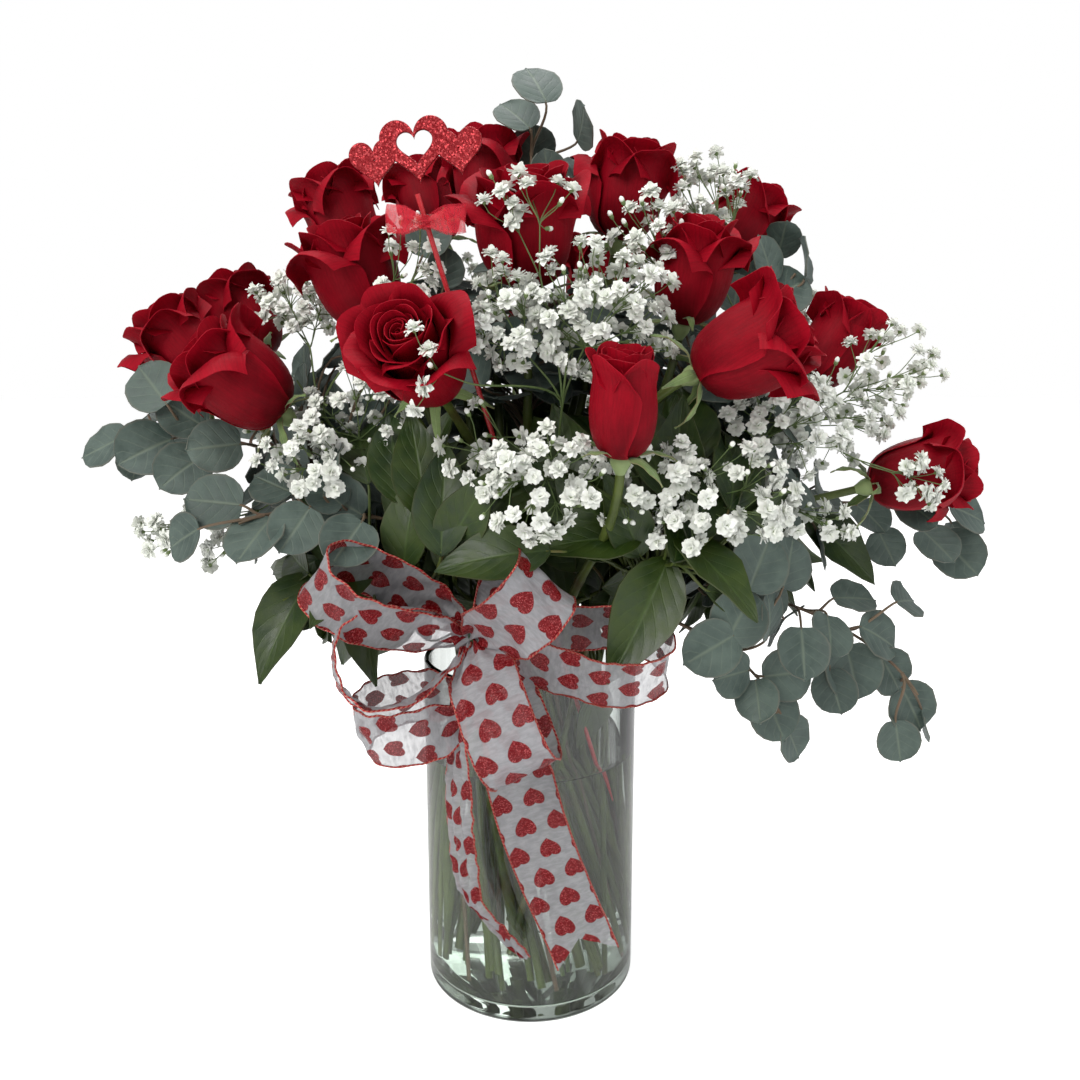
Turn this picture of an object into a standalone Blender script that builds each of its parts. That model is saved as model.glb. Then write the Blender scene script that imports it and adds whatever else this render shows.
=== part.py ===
"""Eighteen red roses with eucalyptus, lemon leaf, baby's breath and a ribbon bow in a glass vase.

Metres, +Z up. The origin is the middle of the vase's underside, and the front faces -Y.
Bearings run anticlockwise from +X seen from above, so the front is -90 degrees.
"""

import math
import random
from typing import NamedTuple

import bmesh
import bpy
from mathutils import Matrix, Vector
from mathutils.bvhtree import BVHTree

# ---- Driving dimensions ------------------------------------------------------------------
GAP = 0.0003                 # between pieces that touch
SHARP_EDGE = math.radians(40)

VASE_DIAMETER = 0.127
VASE_HEIGHT = 0.203
GLASS_WALL = 0.0035
GLASS_FLOOR = 0.009
HEEL_ROUNDING = 0.004
WATER_DEPTH = VASE_HEIGHT * 0.67   # above the glass floor

ROSE_STEM_DIAMETER = 0.0055
ROSE_NECK = 0.006            # the straight stretch right under a bloom
TWIG_DIAMETER = 0.0024       # eucalyptus and lemon leaf
BREATH_STEM_DIAMETER = 0.0020
STEM_CLEARANCE = 0.0004      # between a stem and the water round it

BLOOM_DIAMETER = 0.054       # of a rose that is as open as most; heads are spaced by it
EUCALYPTUS_LEAF = 0.030
LEMON_LEAF_LENGTH = 0.062
LEMON_LEAF_WIDTH = 0.032
LEAF_THICKNESS = 0.0008
LEMON_TAPER = 0.45           # how much narrower a lemon leaf is at its tip
STALK_SHARE = 0.25           # a leaf stalk's length over its blade's
BREATH_TWIGS = 13            # to each spray
BREATH_TWIG_LENGTHS = (0.022, 0.048)
BLOSSOM_DIAMETER = 0.0095

RIBBON_WIDTH = 0.0365
RIBBON_THICKNESS = 0.0006
RIBBON_STANDOFF = 0.012      # from the glass to the back of the bow's waist
BOW_WAIST = 0.011            # diameter of the gathered middle
BOW_OFFSET = -0.029          # of the waist, to the left of the vase's middle
BOW_RISE = 0.033             # of the waist above the vase's rim
GATHER_LENGTH = 0.028        # over which a loop opens to its full width
BOW_WIRE_DIAMETER = 0.0016
BOW_WIRE_DROP = 0.69         # of the way from the rim down to the water
BOW_WIRE_ARCH = 0.012        # of the wire above the rim
BOW_WIRE_INSET = 0.008       # of the wire from the inside of the glass
LONG_TAIL = 0.190            # both from the waist down
LONG_TAIL_STANDOFF = 0.007   # from the glass
LONG_TAIL_SLANT = 0.062      # of its end to the right of the waist
LONG_TAIL_SWAY = 0.007
SHORT_TAIL = 0.165
SHORT_TAIL_STANDOFF = 0.010
SHORT_TAIL_SLANT = 0.027

PICK_WIDTH = 0.063           # the three linked hearts
PICK_THICKNESS = 0.0020
PICK_STICK_DIAMETER = 0.0025
PICK_TOP = (-123.0, 1.78, 4.63)   # the stick's upper end: bearing, reach and rise as a rose's
PICK_STICK_DROP = 0.080      # from the vase's rim to the stick's lower end
PICK_LEAN = math.radians(-8)
SIDE_HEART = 0.37            # widths of the hearts over the pick's width
MIDDLE_HEART = 0.52
HEART_WINDOW = 0.52          # width of the middle heart's window over its own
HEART_OFFSET = 0.32          # of the side hearts, over the pick's width
MIDDLE_HEART_RISE = 0.004
PICK_BOW_DROP = 0.014        # of the small bow's knot below the hearts
PICK_BOW_LOOP = 0.019        # length of each of its loops
PICK_RIBBON_WIDTH = 0.013
PICK_KNOT_RADIUS = 0.0028

# ---- How the stems stand in the vase -----------------------------------------------------
INNER_RADIUS = VASE_DIAMETER / 2 - GLASS_WALL
NECK_HEIGHT = VASE_HEIGHT + 0.010   # where the stems are closest together
NECK_RINGS = {"inner": 0.20, "middle": 0.42, "outer": 0.64}   # shares of the inner radius
FOOT_SPREAD = 1.35                  # a ring's radius at the feet over that at the neck
SWIRL = math.radians(60)            # a stem's turn about the axis from neck to foot
HEAD_TURN = math.radians(45)        # and from head to neck
FOOT_LIFT = 0.006                   # least height of a cut end above the glass floor
FOOT_STAGGER = 0.011                # how much more the next ones are lifted, in turn
STEM_STEPS = 7


class Rose(NamedTuple):
    """Where a rose's bloom is: reach and rise (above the rim) are in bloom diameters."""

    bearing: float
    reach: float
    rise: float
    tilt: float        # of the bloom's axis from upright, degrees
    facing: float      # the bearing that it tilts towards
    openness: float    # its diameter over BLOOM_DIAMETER
    ring: str


class Spray(NamedTuple):
    """Where a spray's tip is, in the same terms as a rose."""

    kind: str
    bearing: float
    reach: float
    rise: float
    tilt: float
    ring: str


ROSES = [
    Rose(-117, 2.10, 3.20, 60, -105, 1.00, "middle"),
    Rose(-162, 1.80, 4.00, 20, -150, 1.06, "middle"),
    Rose(165, 2.10, 4.70, 25, 165, 0.93, "middle"),
    Rose(-158, 2.95, 3.00, 50, -165, 1.04, "outer"),
    Rose(180, 3.60, 3.30, 40, 180, 0.95, "outer"),
    Rose(164, 3.40, 3.65, 35, 165, 0.90, "outer"),
    Rose(-90, 0.90, 4.40, 20, -90, 1.15, "inner"),
    Rose(130, 0.75, 5.10, 5, 130, 0.93, "inner"),
    Rose(129, 1.90, 5.00, 20, 129, 0.90, "middle"),
    Rose(0, 1.00, 4.90, 12, -30, 0.95, "inner"),
    Rose(14, 2.35, 4.60, 30, 14, 0.90, "middle"),
    Rose(-31, 1.80, 4.00, 15, -60, 0.92, "middle"),
    Rose(-44, 2.65, 3.30, 62, -15, 1.00, "outer"),
    Rose(-70, 2.35, 2.80, 12, -90, 0.78, "outer"),
    Rose(0, 3.20, 3.35, 30, 5, 0.85, "outer"),
    Rose(-8, 4.00, 2.05, 75, -5, 0.95, "outer"),
    Rose(62, 1.70, 4.10, 20, 62, 0.90, "middle"),
    Rose(95, 2.80, 3.50, 40, 95, 0.95, "outer"),
]

SPRAYS = {
    "eucalyptus_top": Spray("eucalyptus", 87, 0.40, 5.75, 5, "inner"),
    "eucalyptus_left_high": Spray("eucalyptus", -175, 4.10, 2.40, 100, "outer"),
    "eucalyptus_left_low": Spray("eucalyptus", -150, 3.10, 1.70, 110, "outer"),
    "eucalyptus_right_front": Spray("eucalyptus", -30, 2.80, -0.20, 165, "outer"),
    "eucalyptus_right_far": Spray("eucalyptus", -12, 4.10, -0.20, 150, "outer"),
    "eucalyptus_right_side": Spray("eucalyptus", 3, 4.60, 1.60, 95, "outer"),
    "eucalyptus_right_high": Spray("eucalyptus", 2, 2.80, 4.10, 40, "middle"),
    "eucalyptus_back_left": Spray("eucalyptus", 125, 3.50, 2.30, 90, "outer"),
    "eucalyptus_back_right": Spray("eucalyptus", 58, 3.40, 1.90, 95, "outer"),
    "lemon_leaf_left": Spray("lemon_leaf", -152, 2.70, 0.90, 110, "outer"),
    "lemon_leaf_front": Spray("lemon_leaf", -50, 2.50, 1.30, 105, "outer"),
    "lemon_leaf_right": Spray("lemon_leaf", 12, 3.30, 1.30, 100, "outer"),
    "lemon_leaf_back": Spray("lemon_leaf", 85, 2.90, 1.20, 100, "outer"),
    "babys_breath_left": Spray("babys_breath", -165, 2.40, 3.00, 30, "middle"),
    "babys_breath_front": Spray("babys_breath", -78, 1.70, 3.20, 25, "inner"),
    "babys_breath_right": Spray("babys_breath", -4, 2.90, 2.80, 40, "middle"),
    "babys_breath_back": Spray("babys_breath", 100, 1.90, 4.00, 25, "middle"),
}


class Loop(NamedTuple):
    """One loop of the bow: way is where it points, opening how far its two runs part."""

    way: tuple         # direction from the waist, in the frame x right, y front, z up
    across: tuple      # roughly the direction of the ribbon's width
    length: float
    opening: float


BOW_LOOPS = [
    Loop((-0.80, 0.25, 0.55), (0.45, 0.60, 0.65), 0.088, 0.030),
    Loop((-0.95, 0.25, -0.15), (0.00, 1.00, 0.20), 0.080, 0.052),
    Loop((-0.72, -0.05, -0.69), (0.45, 0.85, -0.20), 0.080, 0.030),
    Loop((0.15, 0.55, -0.82), (0.90, 0.10, 0.30), 0.074, 0.034),
    Loop((0.62, 0.55, 0.56), (0.75, -0.10, -0.60), 0.060, 0.034),
    Loop((0.98, 0.10, -0.05), (0.05, 0.60, 0.80), 0.100, 0.036),
]


# ---- Materials ---------------------------------------------------------------------------
def material(name, colour, roughness, metallic=0.0, transmission=0.0):
    """A Principled material with one colour."""
    made = bpy.data.materials.new(name)
    made.use_nodes = True
    shader = made.node_tree.nodes["Principled BSDF"]
    shader.inputs["Base Color"].default_value = (*colour, 1.0)
    shader.inputs["Roughness"].default_value = roughness
    shader.inputs["Metallic"].default_value = metallic
    shader.inputs["Transmission Weight"].default_value = transmission
    made.diffuse_color = (*colour, 1.0)
    return made


# ---- Shapes ------------------------------------------------------------------------------
def collection(name):
    """A new collection in the scene."""
    made = bpy.data.collections.new(name)
    bpy.context.scene.collection.children.link(made)
    return made


def add_object(name, data, group, finish):
    """A new object that holds this data. One with a finish is a piece, and is shaded smooth."""
    made = bpy.data.objects.new(name, data)
    group.objects.link(made)
    if finish:
        data.materials.clear()
        data.materials.append(finish)
        data.shade_smooth()
        data.set_sharp_from_angle(angle=SHARP_EDGE)
    return made


def mesh_from(bm, name):
    """A mesh from a bmesh, with its normals made to point out."""
    bmesh.ops.recalc_face_normals(bm, faces=bm.faces)
    if bm.calc_volume(signed=True) < 0:
        bmesh.ops.reverse_faces(bm, faces=bm.faces)
    data = bpy.data.meshes.new(name)
    bm.to_mesh(data)
    bm.free()
    return data


def evaluated_mesh(source, weld=0.00001):
    """The mesh of an object with its modifiers or its bevel, welded; the object is removed."""
    bpy.context.view_layer.update()
    graph = bpy.context.evaluated_depsgraph_get()
    data = bpy.data.meshes.new_from_object(source.evaluated_get(graph))
    data.transform(source.matrix_world)
    bpy.data.objects.remove(source)
    bm = bmesh.new()
    bm.from_mesh(data)
    bmesh.ops.remove_doubles(bm, verts=bm.verts, dist=weld)
    bm.to_mesh(data)
    bm.free()
    return data


def tube_mesh(points, diameter, group, sides_step=1):
    """A mesh tube along these points, closed at both ends."""
    curve = bpy.data.curves.new("tube", "CURVE")
    curve.dimensions = "3D"
    curve.bevel_depth = diameter / 2
    curve.bevel_resolution = sides_step
    curve.use_fill_caps = True
    spline = curve.splines.new("POLY")
    spline.points.add(len(points) - 1)
    for place, point in zip(spline.points, points):
        place.co = (*point, 1.0)
    return evaluated_mesh(add_object("tube", curve, group, None))


def turned_mesh(profile, steps, group):
    """A solid turned about Z from (radius, height) points that run down its outer side."""
    data = bpy.data.meshes.new("profile")
    points = [(radius, 0.0, height) for radius, height in profile]
    data.from_pydata(points, [(i, i + 1) for i in range(len(points) - 1)], [])
    turned = add_object("profile", data, group, None)
    screw = turned.modifiers.new("turn", "SCREW")
    screw.steps = screw.render_steps = steps
    screw.use_merge_vertices = True
    screw.merge_threshold = 0.00001
    return evaluated_mesh(turned)


def arc(centre, radius, start, end, steps):
    """Points on an arc, as (radius, height) pairs; the angles are in degrees."""
    turns = [math.radians(start + (end - start) * i / steps) for i in range(steps + 1)]
    return [(centre[0] + radius * math.cos(a), centre[1] + radius * math.sin(a)) for a in turns]


def fused_mesh(pieces, group):
    """One mesh that is the union of these meshes."""
    bm = bmesh.new()
    for piece in pieces:
        bm.from_mesh(piece)
    data = bpy.data.meshes.new("fused")
    bm.to_mesh(data)
    bm.free()
    fused = add_object("fused", data, group, None)
    bpy.context.view_layer.objects.active = fused
    fused.select_set(True)
    bpy.ops.object.mode_set(mode="EDIT")
    bpy.ops.mesh.select_all(action="SELECT")
    bpy.ops.mesh.intersect_boolean(operation="UNION", use_self=True, solver="EXACT")
    bpy.ops.object.mode_set(mode="OBJECT")
    return evaluated_mesh(fused, weld=0.0000001)


def cut(target, cutters, name):
    """Cuts these meshes from an object through a collection of cutters."""
    tools = collection(name)
    for index, data in enumerate(cutters):
        tool = add_object(f"{name}_{index + 1:02d}", data, tools, None)
        tool.hide_render = True
        tool.display_type = "WIRE"
    modifier = target.modifiers.new("cut", "BOOLEAN")
    modifier.operation = "DIFFERENCE"
    modifier.operand_type = "COLLECTION"
    modifier.collection = tools
    modifier.solver = "EXACT"


def toward(way, across):
    """A rotation whose local Z is this way and whose local X is close to across."""
    z_axis = Vector(way).normalized()
    x_axis = Vector(across) - z_axis * z_axis.dot(Vector(across))
    x_axis.normalize()
    return Matrix((x_axis, z_axis.cross(x_axis), z_axis)).transposed().to_4x4()


def polar(bearing, radius, height):
    """A point from a bearing in radians, a distance from the axis and a height."""
    return Vector((radius * math.cos(bearing), radius * math.sin(bearing), height))


def axis_of(tilt, bearing):
    """A direction from its tilt off upright and the bearing that it tilts to, in degrees."""
    lean, turn = math.radians(tilt), math.radians(bearing)
    return Vector((math.sin(lean) * math.cos(turn), math.sin(lean) * math.sin(turn), math.cos(lean)))


# ---- Stems -------------------------------------------------------------------------------
class Stand(NamedTuple):
    """Where a stem stands: its cut end, and where it passes the neck."""

    foot: Vector
    neck: Vector


def heads():
    """Every stem's bearing and ring, by name."""
    found = {f"rose_{i + 1:02d}": (r.bearing, r.ring) for i, r in enumerate(ROSES)}
    found.update({name: (s.bearing, s.ring) for name, s in SPRAYS.items()})
    return found


def stands():
    """Each stem's place, with a ring's stems evenly spaced in the order of their heads."""
    found = {}
    for ring, share in NECK_RINGS.items():
        named = sorted((b % 360, name) for name, (b, r) in heads().items() if r == ring)
        pitch = 2 * math.pi / len(named)
        drift = sum(math.radians(b) - i * pitch for i, (b, _) in enumerate(named)) / len(named)
        for index, (_, name) in enumerate(named):
            neck_bearing = index * pitch + drift + HEAD_TURN
            neck_radius = share * INNER_RADIUS
            neck = polar(neck_bearing, neck_radius, NECK_HEIGHT)
            floor = polar(neck_bearing + SWIRL, neck_radius * FOOT_SPREAD, GLASS_FLOOR)
            lift = FOOT_LIFT + FOOT_STAGGER * (index % 3)
            found[name] = Stand(floor.lerp(neck, lift / (NECK_HEIGHT - GLASS_FLOOR)), neck)
    return found


def stem_points(stand, tip, tip_way, steps=STEM_STEPS):
    """Straight from the foot to the neck, then one smooth curve to the tip."""
    start = (stand.neck - stand.foot).normalized()
    pull = (tip - stand.neck).length
    points = [stand.foot]
    for step in range(steps + 1):
        t = step / steps
        points.append(
            stand.neck * (2 * t**3 - 3 * t**2 + 1)
            + start * pull * (t**3 - 2 * t**2 + t)
            + tip * (3 * t**2 - 2 * t**3)
            + tip_way * pull * (t**3 - t**2)
        )
    return points


# ---- The glass and the water -------------------------------------------------------------
def build_vase(group, finish):
    """A straight cylinder of glass with a thick floor and a rounded heel and rim."""
    outer, lip = VASE_DIAMETER / 2, GLASS_WALL / 2
    profile = arc((outer - lip, VASE_HEIGHT - lip), lip, 180, 0, 2)
    profile += arc((outer - HEEL_ROUNDING, HEEL_ROUNDING), HEEL_ROUNDING, 0, -90, 2)
    profile += [(0.0, 0.0)]
    profile = [(0.0, GLASS_FLOOR), (INNER_RADIUS, GLASS_FLOOR)] + profile
    return add_object("vase", turned_mesh(profile, 40, group), group, finish)


def build_water(group, finish, tubes):
    """The water, open where each stem stands in it."""
    radius, low = INNER_RADIUS - GAP, GLASS_FLOOR + GAP
    high = GLASS_FLOOR + WATER_DEPTH
    data = turned_mesh([(0.0, high), (radius, high), (radius, low), (0.0, low)], 32, group)
    water = add_object("water", data, group, finish)
    cut(water, tubes, "stem_cutters")
    return water


def water_tube(foot, neck, diameter, group):
    """A cutter that runs right through the water along a stem."""
    beyond = (neck - foot) * 0.3
    points = [foot - beyond, neck + beyond]
    return tube_mesh(points, diameter + 2 * STEM_CLEARANCE, group)


# ---- Roses -------------------------------------------------------------------------------
def bloom_mesh(rose, group):
    """A plain cup the size of the bloom, its base at the origin and its axis along Z."""
    radius = rose.openness * BLOOM_DIAMETER / 2
    height = bloom_height(rose)
    seat = ROSE_STEM_DIAMETER * 0.9
    profile = [
        (0.0, height * 0.90),
        (radius * 0.45, height * 0.97),
        (radius * 0.78, height),
        (radius, height * 0.78),
        (radius * 0.98, height * 0.50),
        (radius * 0.78, height * 0.22),
        (seat, 0.0),
        (0.0, 0.0),
    ]
    return turned_mesh(profile, 12, group)


def bloom_height(rose):
    """A closed bud is slimmer than an open rose, and about as tall."""
    return BLOOM_DIAMETER * (0.55 + 0.42 * rose.openness)


def head_centre(bearing, reach, rise):
    """A head's place from a bearing in degrees and bloom diameters."""
    height = VASE_HEIGHT + rise * BLOOM_DIAMETER
    return polar(math.radians(bearing), reach * BLOOM_DIAMETER, height)


def build_rose(index, rose, stand, group, petal_finish, stem_finish):
    """A bloom and its stem."""
    axis = axis_of(rose.tilt, rose.facing)
    base = head_centre(rose.bearing, rose.reach, rose.rise) - axis * bloom_height(rose) / 2
    data = bloom_mesh(rose, group)
    data.transform(Matrix.Translation(base) @ toward(axis, (0.3, 1.0, 0.2)))
    bloom = add_object(f"rose_bloom_{index:02d}", data, group, petal_finish)
    points = stem_points(stand, base - axis * ROSE_NECK, axis) + [base - axis * GAP]
    data = tube_mesh(points, ROSE_STEM_DIAMETER, group)
    stem = add_object(f"rose_stem_{index:02d}", data, group, stem_finish)
    return bloom, stem


# ---- Sprays ------------------------------------------------------------------------------
def leaf_mesh(length, width, pointed):
    """A flat leaf from its stalk at the origin along +Z, its face along +Y."""
    bm = bmesh.new()
    bmesh.ops.create_cone(
        bm, cap_ends=True, segments=8, radius1=0.5, radius2=0.5, depth=LEAF_THICKNESS
    )
    for vert in bm.verts:
        along, side, thick = vert.co.x + 0.5, vert.co.y * 2, vert.co.z
        side *= 1 - pointed * along
        vert.co = (side * width / 2, thick, along * length)
    return mesh_from(bm, "leaf")


def stalk_mesh(start, end, group):
    """A leaf's stalk, which reaches a little into both ends."""
    reach = (end - start).normalized() * LEAF_THICKNESS
    return tube_mesh([start - reach, end + reach], TWIG_DIAMETER * 0.6, group, 0)


def blossom_mesh(centre):
    """A blossom as a small faceted ball."""
    bm = bmesh.new()
    bmesh.ops.create_icosphere(bm, subdivisions=1, radius=BLOSSOM_DIAMETER / 2)
    bmesh.ops.translate(bm, verts=bm.verts, vec=centre)
    return mesh_from(bm, "blossom")


def surface_tree(meshes):
    """A search tree of these meshes' faces."""
    points, faces = [], []
    for data in meshes:
        first = len(points)
        points += [vert.co.copy() for vert in data.vertices]
        faces += [[first + i for i in face.vertices] for face in data.polygons]
    return BVHTree.FromPolygons(points, faces)


def is_clear(data, trees):
    """Whether this mesh crosses none of the pieces and lies in none of them."""
    tree = surface_tree([data])
    if any(tree.overlap(other) for other in trees):
        return False
    for vert in data.vertices:
        for other in trees:
            near, normal, _, gap = other.find_nearest(vert.co)
            if near and (gap < 3 * GAP or (vert.co - near).dot(normal) < 0 and gap < 0.02):
                return False
    return True


def leaf_parts(point, way, side, length, width, pointed, group):
    """A leaf and its stalk, standing off a twig to one side."""
    stalk = length * STALK_SHARE
    out = (side * 0.85 + way * 0.55).normalized()
    base = point + out * stalk
    face = way.cross(out) if way.cross(out).length > 0.1 else Vector((0, 1, 0))
    data = leaf_mesh(length, width, pointed)
    data.transform(Matrix.Translation(base) @ toward(out, face.cross(out)))
    return [data, stalk_mesh(point, base, group)]


def twig_points(spray, stand):
    """The line of a spray's main twig."""
    tip = head_centre(spray.bearing, spray.reach, spray.rise)
    return stem_points(stand, tip, axis_of(spray.tilt, spray.bearing), 10)


def build_leaf_spray(name, spray, stand, trees, group, finish):
    """A twig with leaves on alternate sides; a leaf turns until it is clear of its neighbours."""
    points = twig_points(spray, stand)
    parts = [tube_mesh(points, TWIG_DIAMETER, group)]
    is_lemon = spray.kind == "lemon_leaf"
    length = LEMON_LEAF_LENGTH if is_lemon else EUCALYPTUS_LEAF
    width = LEMON_LEAF_WIDTH if is_lemon else EUCALYPTUS_LEAF * 0.94
    pointed = LEMON_TAPER if is_lemon else 0.0
    places = (6, 8, 10) if is_lemon else (5, 6, 7, 8, 9, 10)
    for number, place in enumerate(places):
        way = (points[place + 1] - points[place]).normalized()
        level = way.cross(Vector((0, 0, 1))).normalized()
        for turn in (0, 35, -35, 70, -70, 110, -110):
            side = Matrix.Rotation(math.radians(turn + 180 * (number % 2)), 3, way) @ level
            grown = leaf_parts(points[place + 1], way, side, length, width, pointed, group)
            others = trees + ([surface_tree(parts[1:])] if parts[1:] else [])
            if is_clear(grown[0], others) and is_clear(grown[1], trees):
                parts += grown
                break
    return add_object(name, fused_mesh(parts, group), group, finish)


def build_breath_spray(name, spray, stand, trees, group, finish, draw):
    """A thin stem that forks into twigs with a blossom on each."""
    points = twig_points(spray, stand)
    parts = [tube_mesh(points, BREATH_STEM_DIAMETER, group)]
    for number in range(BREATH_TWIGS):
        root = points[6 + number % 5]
        spread = Vector([draw.uniform(-1, 1) for _ in range(3)]) + Vector((0, 0, 0.5))
        end = root + spread.normalized() * draw.uniform(*BREATH_TWIG_LENGTHS)
        twig = tube_mesh([root, end], BREATH_STEM_DIAMETER * 0.6, group, 0)
        blossom = blossom_mesh(end)
        others = trees + ([surface_tree(parts[1:])] if parts[1:] else [])
        outer_half = tube_mesh([root.lerp(end, 0.3), end], BREATH_STEM_DIAMETER, group, 0)
        if is_clear(blossom, others) and is_clear(outer_half, others):
            parts += [twig, blossom]
    return add_object(name, fused_mesh(parts, group), group, finish)


# ---- The bow -----------------------------------------------------------------------------
def bow_centre():
    """The middle of the bow's waist, in front of the glass and above its rim."""
    forward = VASE_DIAMETER / 2 + RIBBON_STANDOFF + BOW_WAIST / 2
    return Vector((BOW_OFFSET, -forward, VASE_HEIGHT + BOW_RISE))


def strip_mesh(centre_line, widths, across, group):
    """A ribbon strip along a centre line, with a width and a width direction at each point."""
    bm = bmesh.new()
    rows = []
    for point, width, side in zip(centre_line, widths, across):
        rows.append([bm.verts.new(point + side * width * share) for share in (-0.5, 0.5)])
    for first, second in zip(rows, rows[1:]):
        bm.faces.new((first[0], first[1], second[1], second[0]))
    strip = add_object("strip", mesh_from(bm, "strip"), group, None)
    solid = strip.modifiers.new("thickness", "SOLIDIFY")
    solid.thickness = RIBBON_THICKNESS
    solid.offset = 0.0
    return evaluated_mesh(strip)


def loop_mesh(loop, centre, group):
    """A loop of ribbon that leaves the waist, turns round and comes back to it."""
    turn = toward(
        (loop.way[0], -loop.way[1], loop.way[2]), (loop.across[0], -loop.across[1], loop.across[2])
    ).to_3x3()
    side, opening, way = turn.col[0], turn.col[1], turn.col[2]
    steps = 12
    line, widths = [], []
    for step in range(steps + 1):
        t = 2 * math.pi * (0.02 + 0.96 * step / steps)
        out = loop.length * (1 - math.cos(t)) / 2
        part = loop.opening / 2 * math.sin(t) * (0.35 + 0.65 * out / loop.length) * 1.3
        line.append(centre + way * out + opening * part)
        widths.append(min(RIBBON_WIDTH, BOW_WAIST * 0.6 + RIBBON_WIDTH * out / GATHER_LENGTH))
    return strip_mesh(line, widths, [side] * len(line), group)


def long_tail_mesh(centre, group):
    """The wide tail, which falls from behind the waist and hangs in front of the glass."""
    back = -(VASE_DIAMETER / 2 + LONG_TAIL_STANDOFF)
    under = Vector((centre.x + 0.012, back, centre.z - 0.020))
    end = Vector((centre.x + LONG_TAIL_SLANT, back, centre.z - LONG_TAIL))
    sway = Vector((LONG_TAIL_SWAY, 0, 0))
    line = [centre]
    line += [under.lerp(end, i / 8) - sway * math.sin(math.pi * i / 8) for i in range(9)]
    widths = [BOW_WAIST * 0.6] + [min(RIBBON_WIDTH, 0.016 + 0.007 * i) for i in range(9)]
    across = [Vector((1.0, 0.0, 0.24)).normalized()] * len(line)
    return strip_mesh(line, widths, across, group)


def short_tail_mesh(centre, group):
    """The narrow tail, which hangs turned nearly edge-on beside the first."""
    back = -(VASE_DIAMETER / 2 + SHORT_TAIL_STANDOFF)
    under = Vector((centre.x - 0.008, back, centre.z - 0.030))
    middle = Vector((centre.x - 0.009, back - 0.006, centre.z - SHORT_TAIL * 0.64))
    end = Vector((centre.x + SHORT_TAIL_SLANT, back, centre.z - SHORT_TAIL * 1.13))
    line = [centre, under, under.lerp(middle, 0.5), middle]
    line += [middle.lerp(end, i / 4) for i in range(1, 5)]
    shares = [i / (len(line) - 1) for i in range(len(line))]
    widths = [RIBBON_WIDTH * (0.20 + 0.35 * math.sin(math.pi * s)) for s in shares]
    turns = [math.radians(65 - 30 * s) for s in shares]
    across = [Vector((math.cos(a), -math.sin(a), 0.0)) for a in turns]
    return strip_mesh(line, widths, across, group)


def build_bow_ribbon(group, finish):
    """The bow is one ribbon: six loops and two tails that meet in its gathered waist."""
    centre = bow_centre()
    bm = bmesh.new()
    bmesh.ops.create_icosphere(bm, subdivisions=2, radius=BOW_WAIST / 2)
    bmesh.ops.translate(bm, verts=bm.verts, vec=centre)
    parts = [mesh_from(bm, "waist")]
    parts += [loop_mesh(loop, centre, group) for loop in BOW_LOOPS]
    parts += [long_tail_mesh(centre, group), short_tail_mesh(centre, group)]
    return add_object("bow_ribbon", fused_mesh(parts, group), group, finish)


def build_bow_wire(group, finish):
    """The wire that holds the bow, bent over the rim and down among the stems."""
    centre = bow_centre()
    inside = INNER_RADIUS - BOW_WIRE_INSET
    bearing = math.atan2(centre.y, centre.x) + 0.05
    rise = VASE_HEIGHT + BOW_WIRE_ARCH
    dry = VASE_HEIGHT - GLASS_FLOOR - WATER_DEPTH
    points = [
        centre + Vector((0.001, BOW_WAIST / 2 + GAP, -0.002)),
        polar(bearing, VASE_DIAMETER / 2 + 0.004, rise + 0.008),
        polar(bearing, inside + 0.004, rise),
        polar(bearing, inside, VASE_HEIGHT - 0.012),
        polar(bearing, inside, VASE_HEIGHT - BOW_WIRE_DROP * dry),
    ]
    return add_object("bow_wire", tube_mesh(points, BOW_WIRE_DIAMETER, group), group, finish)


# ---- The pick ----------------------------------------------------------------------------
def stick_ends():
    """The pick's stick: its lower end inside the glass and its upper end at the hearts."""
    low = polar(math.radians(-34), INNER_RADIUS * 0.90, VASE_HEIGHT - PICK_STICK_DROP)
    return low, head_centre(*PICK_TOP)


def heart_mesh(width, thickness):
    """A heart cut from sheet, its point down along -Z, its face along Y."""
    bm = bmesh.new()
    bmesh.ops.create_cone(
        bm, cap_ends=True, segments=24, radius1=1.0, radius2=1.0, depth=thickness
    )
    for vert in bm.verts:
        turn = math.atan2(vert.co.y, vert.co.x)
        side = 16 * math.sin(turn) ** 3
        rise = (
            13 * math.cos(turn)
            - 5 * math.cos(2 * turn)
            - 2 * math.cos(3 * turn)
            - math.cos(4 * turn)
        )
        vert.co = (side * width / 32, vert.co.z, rise * width / 32)
    return mesh_from(bm, "heart")


def build_pick(group, glitter, stick_finish, bow_finish):
    """Three linked hearts on a stick, with a small bow of sheer ribbon at the top of the stick."""
    low, high = stick_ends()
    lean = Matrix.Rotation(PICK_LEAN, 4, "Y")
    small, large = PICK_WIDTH * SIDE_HEART, PICK_WIDTH * MIDDLE_HEART
    beside = PICK_WIDTH * HEART_OFFSET
    hearts = []
    for width, offset, rise in (
        (small, -beside, 0.0), (large, 0.0, MIDDLE_HEART_RISE), (small, beside, 0.0)
    ):
        data = heart_mesh(width, PICK_THICKNESS)
        data.transform(Matrix.Translation((offset, 0, rise)))
        hearts.append(data)
    data = fused_mesh(hearts, group)
    window = heart_mesh(large * HEART_WINDOW, PICK_THICKNESS * 3)
    window.transform(Matrix.Translation((0, 0, MIDDLE_HEART_RISE)))
    rise = large * 0.54
    place = Matrix.Translation(high + Vector((0, 0, rise + GAP))) @ lean
    data.transform(place)
    window.transform(place)
    made = add_object("pick_hearts", data, group, glitter)
    cut(made, [window], "heart_cutter")
    add_object("pick_stick", tube_mesh([low, high], PICK_STICK_DIAMETER, group), group, stick_finish)
    add_object("pick_bow", pick_bow_mesh(low, high, group), group, bow_finish)
    return made


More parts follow.
